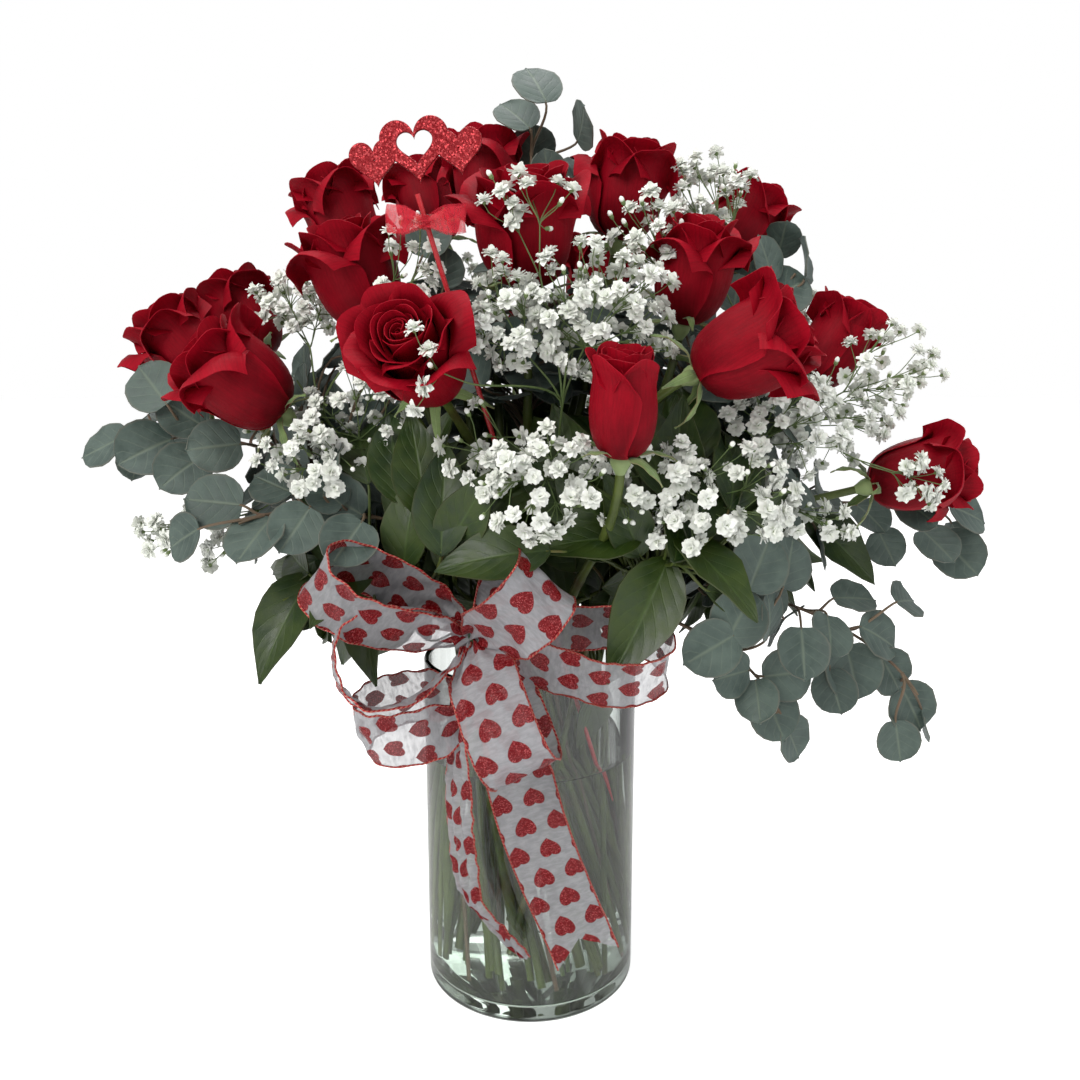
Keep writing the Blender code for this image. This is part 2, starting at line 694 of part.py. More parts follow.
def pick_bow_mesh(low, high, group):
    """Two small loops in front of the stick, just below the hearts."""
    down = (low - high).normalized()
    clear = PICK_STICK_DIAMETER / 2 + PICK_KNOT_RADIUS + GAP
    centre = high + down * PICK_BOW_DROP - Vector((0, clear, 0))
    bm = bmesh.new()
    bmesh.ops.create_icosphere(bm, subdivisions=1, radius=PICK_KNOT_RADIUS)
    bmesh.ops.translate(bm, verts=bm.verts, vec=centre)
    parts = [mesh_from(bm, "knot")]
    for sign in (-1, 1):
        line, widths = [], []
        for step in range(9):
            t = 2 * math.pi * (0.03 + 0.94 * step / 8)
            out = PICK_BOW_LOOP * (1 - math.cos(t)) / 2
            line.append(centre + Vector((sign * out, -0.003 * math.sin(t), 0.10 * out)))
            widths.append(min(PICK_RIBBON_WIDTH, 0.004 + 0.9 * out))
        across = [Vector((0, 0, 1))] * len(line)
        parts.append(strip_mesh(line, widths, across, group))
    return fused_mesh(parts, group)


# ---- The whole ---------------------------------------------------------------------------
def main():
    """Builds every piece."""
    for obj in list(bpy.data.objects):
        bpy.data.objects.remove(obj)
    group = collection("roses_in_a_vase")
    petal = material("red_petal", (0.36, 0.004, 0.018), 0.55)
    stem_green = material("stem_green", (0.10, 0.19, 0.035), 0.5)
    glass = material("clear_glass", (0.93, 0.97, 0.95), 0.02, transmission=1.0)
    water_clear = material("water", (0.90, 0.95, 0.92), 0.02, transmission=1.0)
    silver_green = material("silver_green_leaf", (0.10, 0.17, 0.14), 0.6)
    dark_green = material("dark_green_leaf", (0.015, 0.060, 0.018), 0.35)
    white = material("white_blossom", (0.85, 0.87, 0.82), 0.6)
    organza = material("white_organza", (0.80, 0.76, 0.77), 0.5)
    glitter = material("red_glitter", (0.60, 0.01, 0.02), 0.35, 0.6)
    red_plastic = material("red_plastic", (0.60, 0.01, 0.02), 0.3)
    wire_green = material("wire_green", (0.03, 0.09, 0.03), 0.5)

    build_vase(group, glass)
    places = stands()
    solids, water_cutters = [], []
    for index, rose in enumerate(ROSES, 1):
        stand = places[f"rose_{index:02d}"]
        solids += build_rose(index, rose, stand, group, petal, stem_green)
        water_cutters.append(water_tube(stand.foot, stand.neck, ROSE_STEM_DIAMETER, group))
    for name, spray in SPRAYS.items():
        size = BREATH_STEM_DIAMETER if spray.kind == "babys_breath" else TWIG_DIAMETER
        water_cutters.append(water_tube(places[name].foot, places[name].neck, size, group))
    low, high = stick_ends()
    water_cutters.append(tube_mesh(
        [low - (high - low) * 0.4, high], PICK_STICK_DIAMETER + 2 * STEM_CLEARANCE, group
    ))
    solids.append(build_bow_ribbon(group, organza))
    solids.append(build_bow_wire(group, wire_green))
    build_pick(group, glitter, red_plastic, red_plastic)
    solids += [bpy.data.objects[name] for name in ("pick_hearts", "pick_stick", "pick_bow", "vase")]

    draw = random.Random(18)
    trees = [surface_tree([solid.data]) for solid in solids]
    twigs = {
        name: surface_tree([tube_mesh(twig_points(spray, places[name]), TWIG_DIAMETER, group)])
        for name, spray in SPRAYS.items()
    }
    for name, spray in SPRAYS.items():
        del twigs[name]
        others = trees + list(twigs.values())
        if spray.kind == "babys_breath":
            made = build_breath_spray(name, spray, places[name], others, group, white, draw)
        else:
            leaf = dark_green if spray.kind == "lemon_leaf" else silver_green
            made = build_leaf_spray(name, spray, places[name], others, group, leaf)
        trees.append(surface_tree([made.data]))
    build_water(group, water_clear, water_cutters)


main()
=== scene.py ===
"""Looks for a glass vase of red roses with eucalyptus, lemon leaf, baby's breath and a ribbon bow.

Metres, +Z up. The origin is the middle of the vase's underside, and the front faces -Y.
Bearings run anticlockwise from +X seen from above, so the front is -90 degrees.
"""

from __future__ import annotations

import logging
from dataclasses import dataclass, field
from enum import Enum
from math import asin, atan2, cos, degrees, exp, hypot, pi, radians, sin
from typing import Any, Iterable, Sequence

import bpy
import numpy as np
from mathutils import Matrix


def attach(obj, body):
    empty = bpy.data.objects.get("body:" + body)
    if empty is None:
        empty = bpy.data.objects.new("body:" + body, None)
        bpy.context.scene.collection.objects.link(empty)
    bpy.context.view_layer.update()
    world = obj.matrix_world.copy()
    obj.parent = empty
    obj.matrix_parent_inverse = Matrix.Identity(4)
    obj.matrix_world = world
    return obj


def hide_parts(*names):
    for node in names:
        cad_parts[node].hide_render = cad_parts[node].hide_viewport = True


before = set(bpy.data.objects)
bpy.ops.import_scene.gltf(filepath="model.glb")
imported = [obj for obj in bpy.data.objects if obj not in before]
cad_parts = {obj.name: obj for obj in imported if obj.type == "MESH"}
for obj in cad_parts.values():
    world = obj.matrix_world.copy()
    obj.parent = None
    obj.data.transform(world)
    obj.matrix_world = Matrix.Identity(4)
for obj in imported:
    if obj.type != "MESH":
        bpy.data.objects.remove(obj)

LOG = logging.getLogger("roses_in_a_vase")
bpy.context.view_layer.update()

# ---- Sizes that the model's solids have
VASE_DIAMETER = 0.127
VASE_HEIGHT = 0.203
GLASS_WALL = 0.0035
GLASS_FLOOR = 0.009
HEEL_ROUNDING = 0.004
WATER_DEPTH = VASE_HEIGHT * 0.67
ROSE_STEM_DIAMETER = 0.0055
ROSE_NECK = 0.006
TWIG_DIAMETER = 0.0024
BREATH_STEM_DIAMETER = 0.0020
BLOOM_DIAMETER = 0.054
EUCALYPTUS_LEAF = 0.030
LEMON_LEAF_LENGTH = 0.062
LEMON_LEAF_WIDTH = 0.032
RIBBON_WIDTH = 0.0365
RIBBON_STANDOFF = 0.012
BOW_WAIST = 0.011
BOW_WIRE_DIAMETER = 0.0016
LONG_TAIL = 0.190
SHORT_TAIL = 0.165
PICK_WIDTH = 0.063
PICK_THICKNESS = 0.0020
PICK_STICK_DIAMETER = 0.0025
PICK_STICK_DROP = 0.080
GAP = 0.0003

INNER_RADIUS = VASE_DIAMETER / 2 - GLASS_WALL
NECK_HEIGHT = VASE_HEIGHT + 0.010
FOOT_SPREAD = 1.35
SWIRL = radians(60)
HEAD_TURN = radians(45)
FOOT_LIFT = 0.006
FOOT_STAGGER = 0.011

Vec = np.ndarray
Colour = tuple[float, float, float]
Socket = bpy.types.NodeSocket
Node = bpy.types.Node
Tree = bpy.types.NodeTree
Material = bpy.types.Material

# Numbers that several shapes share.
FULL_TURN = 2 * pi
GOLDEN_ANGLE = radians(137.5)
NECK_POINT = 12
ROUTE_STEPS = 40


class Ring(Enum):
    """The ring of stems that a stem stands in, as a share of the glass's inner radius."""

    INNER = 0.20
    MIDDLE = 0.42
    OUTER = 0.64


class Kind(Enum):
    """What a spray is."""

    EUCALYPTUS = "eucalyptus"
    LEMON_LEAF = "lemon_leaf"
    BREATH = "babys_breath"


class Outline(Enum):
    """The outline of a leaf blade."""

    ROUND = "round"
    OVATE = "ovate"
    LANCE = "lance"


@dataclass(frozen=True)
class Head:
    """Where a stem's head is: reach and rise (above the rim) are in bloom diameters."""

    bearing: float
    reach: float
    rise: float
    tilt: float
    ring: Ring
    facing: float = 0.0
    openness: float = 1.0


ROSES: list[Head] = [
    Head(-117, 2.1, 3.2, 60, Ring.MIDDLE, -105, 1.0),
    Head(-162, 1.8, 4.0, 20, Ring.MIDDLE, -150, 1.06),
    Head(165, 2.1, 4.7, 25, Ring.MIDDLE, 165, 0.93),
    Head(-158, 2.95, 3.0, 50, Ring.OUTER, -165, 1.04),
    Head(180, 3.6, 3.3, 40, Ring.OUTER, 180, 0.95),
    Head(164, 3.4, 3.65, 35, Ring.OUTER, 165, 0.9),
    Head(-90, 0.9, 4.4, 20, Ring.INNER, -90, 1.15),
    Head(130, 0.75, 5.1, 5, Ring.INNER, 130, 0.93),
    Head(129, 1.9, 5.0, 20, Ring.MIDDLE, 129, 0.9),
    Head(0, 1.0, 4.9, 12, Ring.INNER, -30, 0.95),
    Head(14, 2.35, 4.6, 30, Ring.MIDDLE, 14, 0.9),
    Head(-31, 1.8, 4.0, 15, Ring.MIDDLE, -60, 0.92),
    Head(-44, 2.65, 3.3, 62, Ring.OUTER, -15, 1.0),
    Head(-70, 2.35, 2.8, 12, Ring.OUTER, -90, 0.78),
    Head(0, 3.2, 3.35, 30, Ring.OUTER, 5, 0.85),
    Head(-8, 4.0, 2.05, 75, Ring.OUTER, -5, 0.95),
    Head(62, 1.7, 4.1, 20, Ring.MIDDLE, 62, 0.9),
    Head(95, 2.8, 3.5, 40, Ring.OUTER, 95, 0.95),
]

PICK_TOP = Head(-123.0, 1.78, 4.63, 0, Ring.OUTER)

SPRAYS: dict[str, tuple[Kind, Head]] = {
    "eucalyptus_top": (Kind.EUCALYPTUS, Head(87, 0.4, 5.75, 5, Ring.INNER)),
    "eucalyptus_left_high": (Kind.EUCALYPTUS, Head(-175, 4.1, 2.4, 100, Ring.OUTER)),
    "eucalyptus_left_low": (Kind.EUCALYPTUS, Head(-150, 3.1, 1.7, 110, Ring.OUTER)),
    "eucalyptus_right_front": (Kind.EUCALYPTUS, Head(-30, 2.8, -0.2, 165, Ring.OUTER)),
    "eucalyptus_right_far": (Kind.EUCALYPTUS, Head(-12, 4.1, -0.2, 150, Ring.OUTER)),
    "eucalyptus_right_side": (Kind.EUCALYPTUS, Head(3, 4.6, 1.6, 95, Ring.OUTER)),
    "eucalyptus_right_high": (Kind.EUCALYPTUS, Head(2, 2.8, 4.1, 40, Ring.MIDDLE)),
    "eucalyptus_back_left": (Kind.EUCALYPTUS, Head(125, 3.5, 2.3, 90, Ring.OUTER)),
    "eucalyptus_back_right": (Kind.EUCALYPTUS, Head(58, 3.4, 1.9, 95, Ring.OUTER)),
    "lemon_leaf_left": (Kind.LEMON_LEAF, Head(-152, 2.7, 0.9, 110, Ring.OUTER)),
    "lemon_leaf_front": (Kind.LEMON_LEAF, Head(-50, 2.5, 1.3, 105, Ring.OUTER)),
    "lemon_leaf_right": (Kind.LEMON_LEAF, Head(12, 3.3, 1.3, 100, Ring.OUTER)),
    "lemon_leaf_back": (Kind.LEMON_LEAF, Head(85, 2.9, 1.2, 100, Ring.OUTER)),
    "babys_breath_left": (Kind.BREATH, Head(-165, 2.4, 3.0, 30, Ring.MIDDLE)),
    "babys_breath_front": (Kind.BREATH, Head(-78, 1.7, 3.2, 25, Ring.INNER)),
    "babys_breath_right": (Kind.BREATH, Head(-4, 2.9, 2.8, 40, Ring.MIDDLE)),
    "babys_breath_back": (Kind.BREATH, Head(100, 1.9, 4.0, 25, Ring.MIDDLE)),
}

# The leaves that each spray holds: the blade's middle in millimetres, its size over the usual
# one, and the bearing and lift in degrees of the way that its face looks.
LEAVES: dict[str, list[tuple[float, float, float, float, float, float]]] = {
    "eucalyptus_top": [
        (4, 2, 526, 1.0, -80, 35), (-8, 14, 512, 0.85, -120, 60), (30, 6, 505, 0.9, 10, 20),
        (10, -4, 478, 0.8, -70, 15), (28, 10, 480, 0.8, -40, 40), (2, 34, 500, 0.9, 95, 30),
        (-14, 24, 486, 0.8, 150, 20),
    ],
    "eucalyptus_left_high": [
        (-205, -30, 363, 1.05, -100, 30), (-190, -30, 348, 0.95, -70, 10),
        (-238, -20, 328, 1.0, -130, 30), (-207, -40, 328, 1.1, -85, 25),
        (-186, -46, 318, 1.0, -60, 40), (-166, -52, 331, 0.95, -95, 15),
        (-222, 6, 345, 0.95, 170, 40), (-232, 10, 318, 0.9, 140, 15),
        (-200, 10, 330, 0.9, 120, 45), (-172, 16, 338, 0.85, 110, 30),
        (-52, -34, 440, 0.85, -85, 25), (-44, -36, 424, 0.75, -60, 10),
    ],
    "eucalyptus_left_low": [
        (-162, -70, 304, 1.0, -95, 25), (-136, -90, 288, 1.05, -110, 50),
        (-116, -88, 292, 0.95, -80, 20), (-88, -98, 288, 1.0, -75, 30),
        (-176, -76, 286, 0.9, -130, 10), (-150, -50, 280, 0.9, -150, -15),
        (-132, -64, 312, 0.9, -100, 45), (-104, -70, 310, 0.8, -90, 30),
    ],
    "eucalyptus_right_front": [
        (118, -78, 274, 1.05, -70, 30), (136, -68, 272, 0.95, -60, 10),
        (108, -84, 247, 1.0, -95, 15), (92, -92, 232, 1.05, -70, 25),
        (104, -84, 216, 0.9, -60, 0), (126, -76, 246, 0.9, -40, 15),
        (138, -70, 212, 0.95, -85, 10), (130, -72, 190, 1.0, -75, 20),
        (142, -66, 174, 0.9, -50, 5), (120, -80, 200, 0.8, -120, 25),
    ],
    "eucalyptus_right_far": [
        (142, -80, 226, 0.95, -90, 20), (160, -66, 232, 0.9, -60, 35),
        (179, -50, 206, 1.05, -85, 15), (196, -40, 224, 1.0, -60, 30),
        (168, -54, 196, 0.9, -110, 5), (204, -38, 202, 0.95, -75, 10),
        (221, -30, 178, 1.05, -80, 15), (212, -34, 160, 0.9, -95, 0),
        (232, -20, 168, 0.9, -30, 20), (214, -28, 242, 0.85, -20, 40),
        (184, -30, 244, 0.9, -70, 60),
    ],
    "eucalyptus_right_side": [
        (254, 0, 262, 1.05, -95, 20), (260, 4, 287, 0.95, -60, 35), (238, -8, 270, 0.9, -90, 45),
        (238, 20, 290, 0.9, 40, 30), (222, -16, 292, 0.95, -80, 30), (206, 14, 284, 0.85, 60, 40),
        (262, 18, 268, 0.85, 20, 0), (220, 24, 262, 0.85, 80, 0),
    ],
    "eucalyptus_right_high": [
        (146, 2, 415, 1.0, -80, 30), (132, -4, 432, 0.9, -50, 15), (158, 8, 433, 0.9, -10, 30),
        (146, 18, 446, 0.8, 70, 40), (118, 6, 415, 0.8, -100, 20), (130, 24, 424, 0.8, 90, 10),
    ],
    "eucalyptus_back_left": [
        (-60, 120, 330, 1.0, 120, 45), (-84, 132, 318, 1.05, 150, 25), (-98, 152, 326, 1.0, 110, 20),
        (-116, 148, 336, 0.95, 160, 40), (-118, 160, 318, 1.0, 120, 10), (-92, 168, 340, 0.9, 100, 40),
        (-72, 150, 336, 0.9, 90, 30), (-100, 124, 342, 0.9, 170, 55), (-52, 108, 352, 0.85, 100, 30),
    ],
    "eucalyptus_back_right": [
        (52, 108, 306, 1.0, 60, 40), (72, 118, 292, 1.05, 40, 25), (86, 140, 300, 1.0, 80, 20),
        (98, 150, 310, 0.95, 30, 40), (104, 146, 290, 1.0, 60, 5), (78, 158, 314, 0.9, 90, 35),
        (112, 122, 302, 0.9, 10, 30), (64, 138, 280, 0.9, 100, 0), (40, 124, 322, 0.85, 80, 45),
    ],
    "lemon_leaf_left": [
        (-128, -78, 243, 1.05, -105, 35), (-96, -86, 262, 0.9, -80, 50),
        (-84, -80, 236, 0.85, -120, 10), (-55, -78, 325, 0.95, -80, 25),
        (-112, -40, 238, 0.95, -170, 30),
    ],
    "lemon_leaf_front": [
        (-18, -108, 284, 0.95, -100, 35), (56, -100, 250, 1.15, -80, 25),
        (92, -108, 276, 1.0, -60, 55), (30, -96, 290, 0.9, -75, 45), (76, -84, 300, 0.85, -50, 30),
    ],
    "lemon_leaf_right": [
        (186, 6, 268, 1.05, -80, 35), (156, 22, 262, 1.0, 40, 40), (120, 14, 250, 0.95, -60, 15),
        (172, 40, 282, 0.9, 60, 55), (34, -40, 176, 0.75, -55, 0),
    ],
    "lemon_leaf_back": [
        (6, 150, 262, 1.05, 95, 35), (-28, 120, 268, 0.95, 130, 30), (34, 122, 256, 0.95, 60, 25),
        (-4, 118, 290, 0.9, 90, 55),
    ],
}

# Spaces between the stems that stay open, as two opposite corners.
OPEN_SPACES = (
    ((-0.009, -0.005, 0.145), (0.011, 0.008, 0.207)), ((-0.060, -0.012, 0.145), (-0.039, 0.012, 0.207)),
)

# The clouds of blossom that each spray holds: middle and radii in millimetres, and how many.
CLOUDS: dict[str, list[tuple[float, float, float, float, float, float, int]]] = {
    "babys_breath_left": [
        (-94, -50, 345, 36, 26, 28, 50), (-128, -12, 408, 26, 26, 20, 34),
        (-183, -46, 280, 32, 20, 18, 26), (-150, 10, 350, 26, 26, 22, 20),
        (-112, -78, 326, 26, 14, 20, 26), (-58, -64, 424, 18, 14, 24, 14),
    ],
    "babys_breath_front": [
        (34, -84, 400, 46, 24, 34, 92), (-12, -92, 396, 24, 16, 32, 40),
        (6, -114, 318, 34, 16, 30, 44), (-22, -96, 334, 24, 16, 26, 22),
        (58, -96, 316, 34, 16, 30, 34), (0, -84, 452, 26, 10, 18, 14), (-50, -134, 372, 16, 6, 20, 5),
    ],
    "babys_breath_right": [
        (162, -30, 346, 42, 24, 34, 56), (92, -8, 466, 32, 20, 24, 36),
        (92, -106, 312, 38, 16, 30, 40), (130, -62, 342, 34, 20, 32, 42),
        (198, -26, 374, 30, 18, 26, 34), (205, -62, 316, 18, 8, 18, 12),
        (160, 30, 400, 24, 22, 20, 18), (150, -56, 292, 34, 16, 16, 20), (60, -60, 440, 24, 16, 20, 22),
    ],
    "babys_breath_back": [
        (-30, 104, 420, 34, 28, 30, 44), (20, 126, 372, 34, 24, 32, 40),
        (90, 70, 420, 30, 28, 28, 34), (-84, 120, 400, 30, 24, 28, 34),
        (90, 112, 350, 30, 24, 26, 28),
    ],
}


@dataclass(frozen=True)
class LoopPlan:
    """One loop of the bow: way is where it points, opening how far its two runs part.

    Its runs first go from the waist to the root, which is at the waist unless it is given.
    """

    way: tuple[float, float, float]
    across: tuple[float, float, float]
    length: float
    opening: float
    root: tuple[float, float, float] | None = None


BOW_LOOPS: list[LoopPlan] = [
    LoopPlan((-0.84, -0.25, 0.43), (0.50, -0.55, 0.66), 0.086, 0.032),
    LoopPlan((-0.95, -0.28, -0.14), (0.05, -1.00, 0.30), 0.071, 0.052),
    LoopPlan((-0.97, -0.05, -0.16), (0.16, -0.36, 0.92), 0.066, 0.036, (0.004, 0.008, -0.040)),
    LoopPlan((0.36, -0.52, -0.77), (0.90, -0.10, 0.36), 0.076, 0.034),
    LoopPlan((0.62, -0.55, 0.56), (0.75, 0.10, -0.60), 0.060, 0.034),
    LoopPlan((0.98, -0.12, -0.11), (0.05, -0.60, 0.80), 0.100, 0.036),
]


# ---- Vectors and lines
def vec(*values: float) -> Vec:
    """A vector of these numbers."""
    return np.array(values, dtype=float)


def unit(v: Vec) -> Vec:
    """The same direction with length one, along the last axis."""
    return v / np.maximum(np.linalg.norm(v, axis=-1, keepdims=True), 1e-12)


def smooth(x: Any) -> Any:
    """Zero up to 0, one from 1, and a smooth step between."""
    x = np.clip(x, 0.0, 1.0)
    return x * x * (3 - 2 * x)


def polar(bearing: float, radius: float, height: float) -> Vec:
    """A point from a bearing in radians, a distance from the axis and a height."""
    return vec(radius * cos(bearing), radius * sin(bearing), height)


def lean(tilt: float, bearing: float) -> Vec:
    """A direction from its tilt off upright and the bearing that it tilts to, in degrees."""
    t, b = radians(tilt), radians(bearing)
    return vec(sin(t) * cos(b), sin(t) * sin(b), cos(t))


def axes(forward: Vec, facing: Vec) -> Vec:
    """A rotation whose columns are across, facing and forward.

    Args:
        forward: Where local Z goes.
        facing: About where local Y goes.

    Returns:
        A 3 by 3 rotation matrix.
    """
    z = unit(forward)
    y = facing - z * float(z @ facing)
    if np.linalg.norm(y) < 1e-6:
        y = np.cross(z, vec(1.0, 0.0, 0.1))
    y = unit(y)
    return np.stack([np.cross(y, z), y, z], axis=1)


def hermite(a: Vec, a_way: Vec, b: Vec, b_way: Vec, steps: int) -> Vec:
    """A smooth curve between two points with a given slope at each.

    Args:
        a: The first point.
        a_way: The slope there, with its length.
        b: The last point.
        b_way: The slope there, with its length.
        steps: How many stretches.

    Returns:
        steps + 1 points.
    """
    t = np.linspace(0, 1, steps + 1)[:, None]
    return (
        a * (2 * t**3 - 3 * t**2 + 1)
        + a_way * (t**3 - 2 * t**2 + t)
        + b * (3 * t**2 - 2 * t**3)
        + b_way * (t**3 - t**2)
    )


def lengths_along(points: Vec) -> Vec:
    """How far each point is along the line."""
    return np.concatenate([[0.0], np.cumsum(np.linalg.norm(np.diff(points, axis=0), axis=1))])


def stacked(*parts: Vec) -> Vec:
    """These values, spread to one shape, as the last axis."""
    return np.stack(np.broadcast_arrays(*parts), axis=-1)


def resampled(line: Vec, run: Vec, at: Vec) -> Vec:
    """The places on a line, whose points are run along it, at other lengths."""
    return np.stack([np.interp(at, run, line[:, i]) for i in range(3)], axis=1)


def softened(marks: Vec, count: int, passes: int) -> Vec:
    """A line through marks with its corners rounded off.

    Args:
        marks: The points that it starts from.
        count: How many points it gets.
        passes: How many times each point moves to the mean of its neighbours.

    Returns:
        The points of the line, evenly spaced before they move.
    """
    run = lengths_along(marks)
    line = resampled(marks, run, np.linspace(0, run[-1], count))
    for _ in range(passes):
        line[1:-1] = (line[:-2] + line[1:-1] * 2 + line[2:]) / 4
    return line


# ---- Where the stems stand
@dataclass(frozen=True)
class Stand:
    """Where a stem stands: its cut end, and where it passes the neck."""

    foot: Vec
    neck: Vec

    def route(self, tip: Vec, way: Vec, steps: int) -> Vec:
        """Straight from the foot to the neck, then one smooth curve to the tip.

        Args:
            tip: Where the stem ends.
            way: Its direction there.
            steps: How many stretches the curve has.

        Returns:
            The points of the stem's middle line.
        """
        start = unit(self.neck - self.foot)
        pull = float(np.linalg.norm(tip - self.neck))
        inside = [self.foot + (self.neck - self.foot) * s for s in np.linspace(0, 1, NECK_POINT)[:-1]]
        curve = hermite(self.neck, start * pull, tip, way * pull, steps)
        return np.concatenate([np.array(inside), curve])


def stands() -> dict[str, Stand]:
    """Each stem's place, with a ring's stems evenly spaced in the order of their heads."""
    heads = {f"rose_{i + 1:02d}": head for i, head in enumerate(ROSES)}
    heads.update({name: head for name, (_, head) in SPRAYS.items()})
    found: dict[str, Stand] = {}
    for ring in Ring:
        named = sorted((h.bearing % 360, name) for name, h in heads.items() if h.ring == ring)
        pitch = FULL_TURN / len(named)
        drift = sum(radians(b) - i * pitch for i, (b, _) in enumerate(named)) / len(named)
        for index, (_, name) in enumerate(named):
            bearing = index * pitch + drift + HEAD_TURN
            radius = ring.value * INNER_RADIUS
            neck = polar(bearing, radius, NECK_HEIGHT)
            floor = polar(bearing + SWIRL, radius * FOOT_SPREAD, GLASS_FLOOR)
            lift = (FOOT_LIFT + FOOT_STAGGER * (index % 3)) / (NECK_HEIGHT - GLASS_FLOOR)
            found[name] = Stand(floor + (neck - floor) * lift, neck)
    return found


def head_centre(head: Head) -> Vec:
    """A head's place from its bearing, reach and rise."""
    height = VASE_HEIGHT + head.rise * BLOOM_DIAMETER
    return polar(radians(head.bearing), head.reach * BLOOM_DIAMETER, height)


# ---- Meshes
@dataclass
class Draft:
    """The points, faces and surface values of one piece while it is being made.

    A point's trait is how far along its part it is, how near an edge, and the part's own tint.
    """

    points: list[Vec] = field(default_factory=list)
    spots: list[Vec] = field(default_factory=list)
    traits: list[Vec] = field(default_factory=list)
    quads: list[Vec] = field(default_factory=list)
    triangles: list[Vec] = field(default_factory=list)
    quad_finish: list[Vec] = field(default_factory=list)
    triangle_finish: list[Vec] = field(default_factory=list)
    count: int = 0

    def add(
        self, points: Vec, spots: Vec, traits: Vec, quads: Any = (), triangles: Any = (), finish: int = 0
    ) -> None:
        """Adds one part.

        Args:
            points: Its points, n by 3.
            spots: A flat place in metres for each point, n by 2.
            traits: Along, edge and tint for each point, n by 3.
            quads: Its four-sided faces, as places in points.
            triangles: Its three-sided faces, as places in points.
            finish: Which of the piece's materials it has.
        """
        quads = np.asarray(quads, dtype=np.int64).reshape(-1, 4)
        triangles = np.asarray(triangles, dtype=np.int64).reshape(-1, 3)
        self.points.append(points)
        self.spots.append(spots)
        self.traits.append(traits)
        self.quads.append(quads + self.count)
        self.triangles.append(triangles + self.count)
        self.quad_finish.append(np.full(len(quads), finish))
        self.triangle_finish.append(np.full(len(triangles), finish))
        self.count += len(points)

    def add_sheet(self, grid: Vec, spots: Vec, traits: Vec, finish: int = 0) -> None:
        """Adds one thin open sheet from a grid of points."""
        rows, cols = grid.shape[:2]
        self.add(grid.reshape(-1, 3), spots.reshape(-1, 2), traits.reshape(-1, 3),
                 grid_quads(rows, cols), finish=finish)

    def add_shell(self, grid: Vec, traits: Vec, thickness: float, finish: int = 0) -> None:
        """Adds one thin closed body with a rim from a grid of points.

        Args:
            grid: The middle of the body, rows by columns by 3.
            traits: The trait of each point.
            thickness: From face to face.
            finish: Which of the piece's materials it has.
        """
        rows, cols = grid.shape[:2]
        normal = grid_normals(grid) * thickness / 2
        points = np.concatenate([(grid + normal).reshape(-1, 3), (grid - normal).reshape(-1, 3)])
        faces = grid_quads(rows, cols)
        rim = rim_of(rows, cols)
        after, other = np.roll(rim, -1), rows * cols
        sides = np.stack([after, rim, rim + other, after + other], axis=1)
        spots = np.tile(grid_spots(grid).reshape(-1, 2), (2, 1))
        self.add(points, spots, np.tile(traits.reshape(-1, 3), (2, 1)),
                 np.concatenate([faces, faces[:, ::-1] + other, sides]), finish=finish)

    def add_lens(self, grid: Vec, traits: Vec, thickness: float, finish: int = 0) -> None:
        """Adds one closed body that thins to nothing at its rim, from a small grid of points."""
        rows, cols = grid.shape[:2]
        normal = grid_normals(grid) * thickness / 2
        inside = np.zeros((rows, cols), dtype=bool)
        inside[1:-1, 1:-1] = True
        front = grid + normal * inside[..., None]
        back = (grid - normal)[inside]
        index = np.arange(rows * cols).reshape(rows, cols)
        under = index.copy()
        under[inside] = rows * cols + np.arange(len(back))
        faces = grid_quads(rows, cols)
        behind = under.reshape(-1)[faces][:, ::-1]
        spots = grid_spots(grid)
        self.add(
            np.concatenate([front.reshape(-1, 3), back]),
            np.concatenate([spots.reshape(-1, 2), spots[inside]]),
            np.concatenate([traits.reshape(-1, 3), traits[inside]]),
            np.concatenate([faces, behind]), finish=finish,
        )

    def add_tube(
        self, path: Vec, radii: Any, sides: int = 8, finish: int = 0, tint: float = 0.5,
        ends: tuple[float, float] = (0.0, 0.0),
    ) -> None:
        """Adds a closed tube along a line.

        Args:
            path: The points of its middle line.
            radii: One radius, or one for each point.
            sides: How many faces go round.
            finish: Which of the piece's materials it has.
            tint: The tube's own tint.
            ends: The edge value of the first and the last cap, such as one for a fresh cut.
        """
        count = len(path)
        radii = np.broadcast_to(np.asarray(radii, dtype=float), (count,))
        across, up = path_frames(path)
        turn = (np.arange(sides) * FULL_TURN / sides)[:, None]
        ring = np.cos(turn) * across[:, None] + np.sin(turn) * up[:, None]
        points = path[:, None] + ring * radii[:, None, None]
        run = lengths_along(path)
        spots = stacked(turn[:, 0] / 2 / pi, run[:, None])
        traits = stacked((run / max(run[-1], 1e-9))[:, None], np.zeros(sides), tint)
        self.add(points.reshape(-1, 3), spots.reshape(-1, 2), traits.reshape(-1, 3),
                 ring_quads(count, sides), finish=finish)
        for at, edge, flip in ((0, ends[0], True), (count - 1, ends[1], False)):
            cap = np.concatenate([points[at], path[at][None]])
            around = np.arange(sides)
            faces = np.stack([around, np.roll(around, -1), np.full(sides, sides)], axis=1)
            values = np.tile([float(at > 0), edge, tint], (sides + 1, 1))
            self.add(cap, np.zeros((sides + 1, 2)), values,
                     triangles=faces[:, ::-1] if flip else faces, finish=finish)

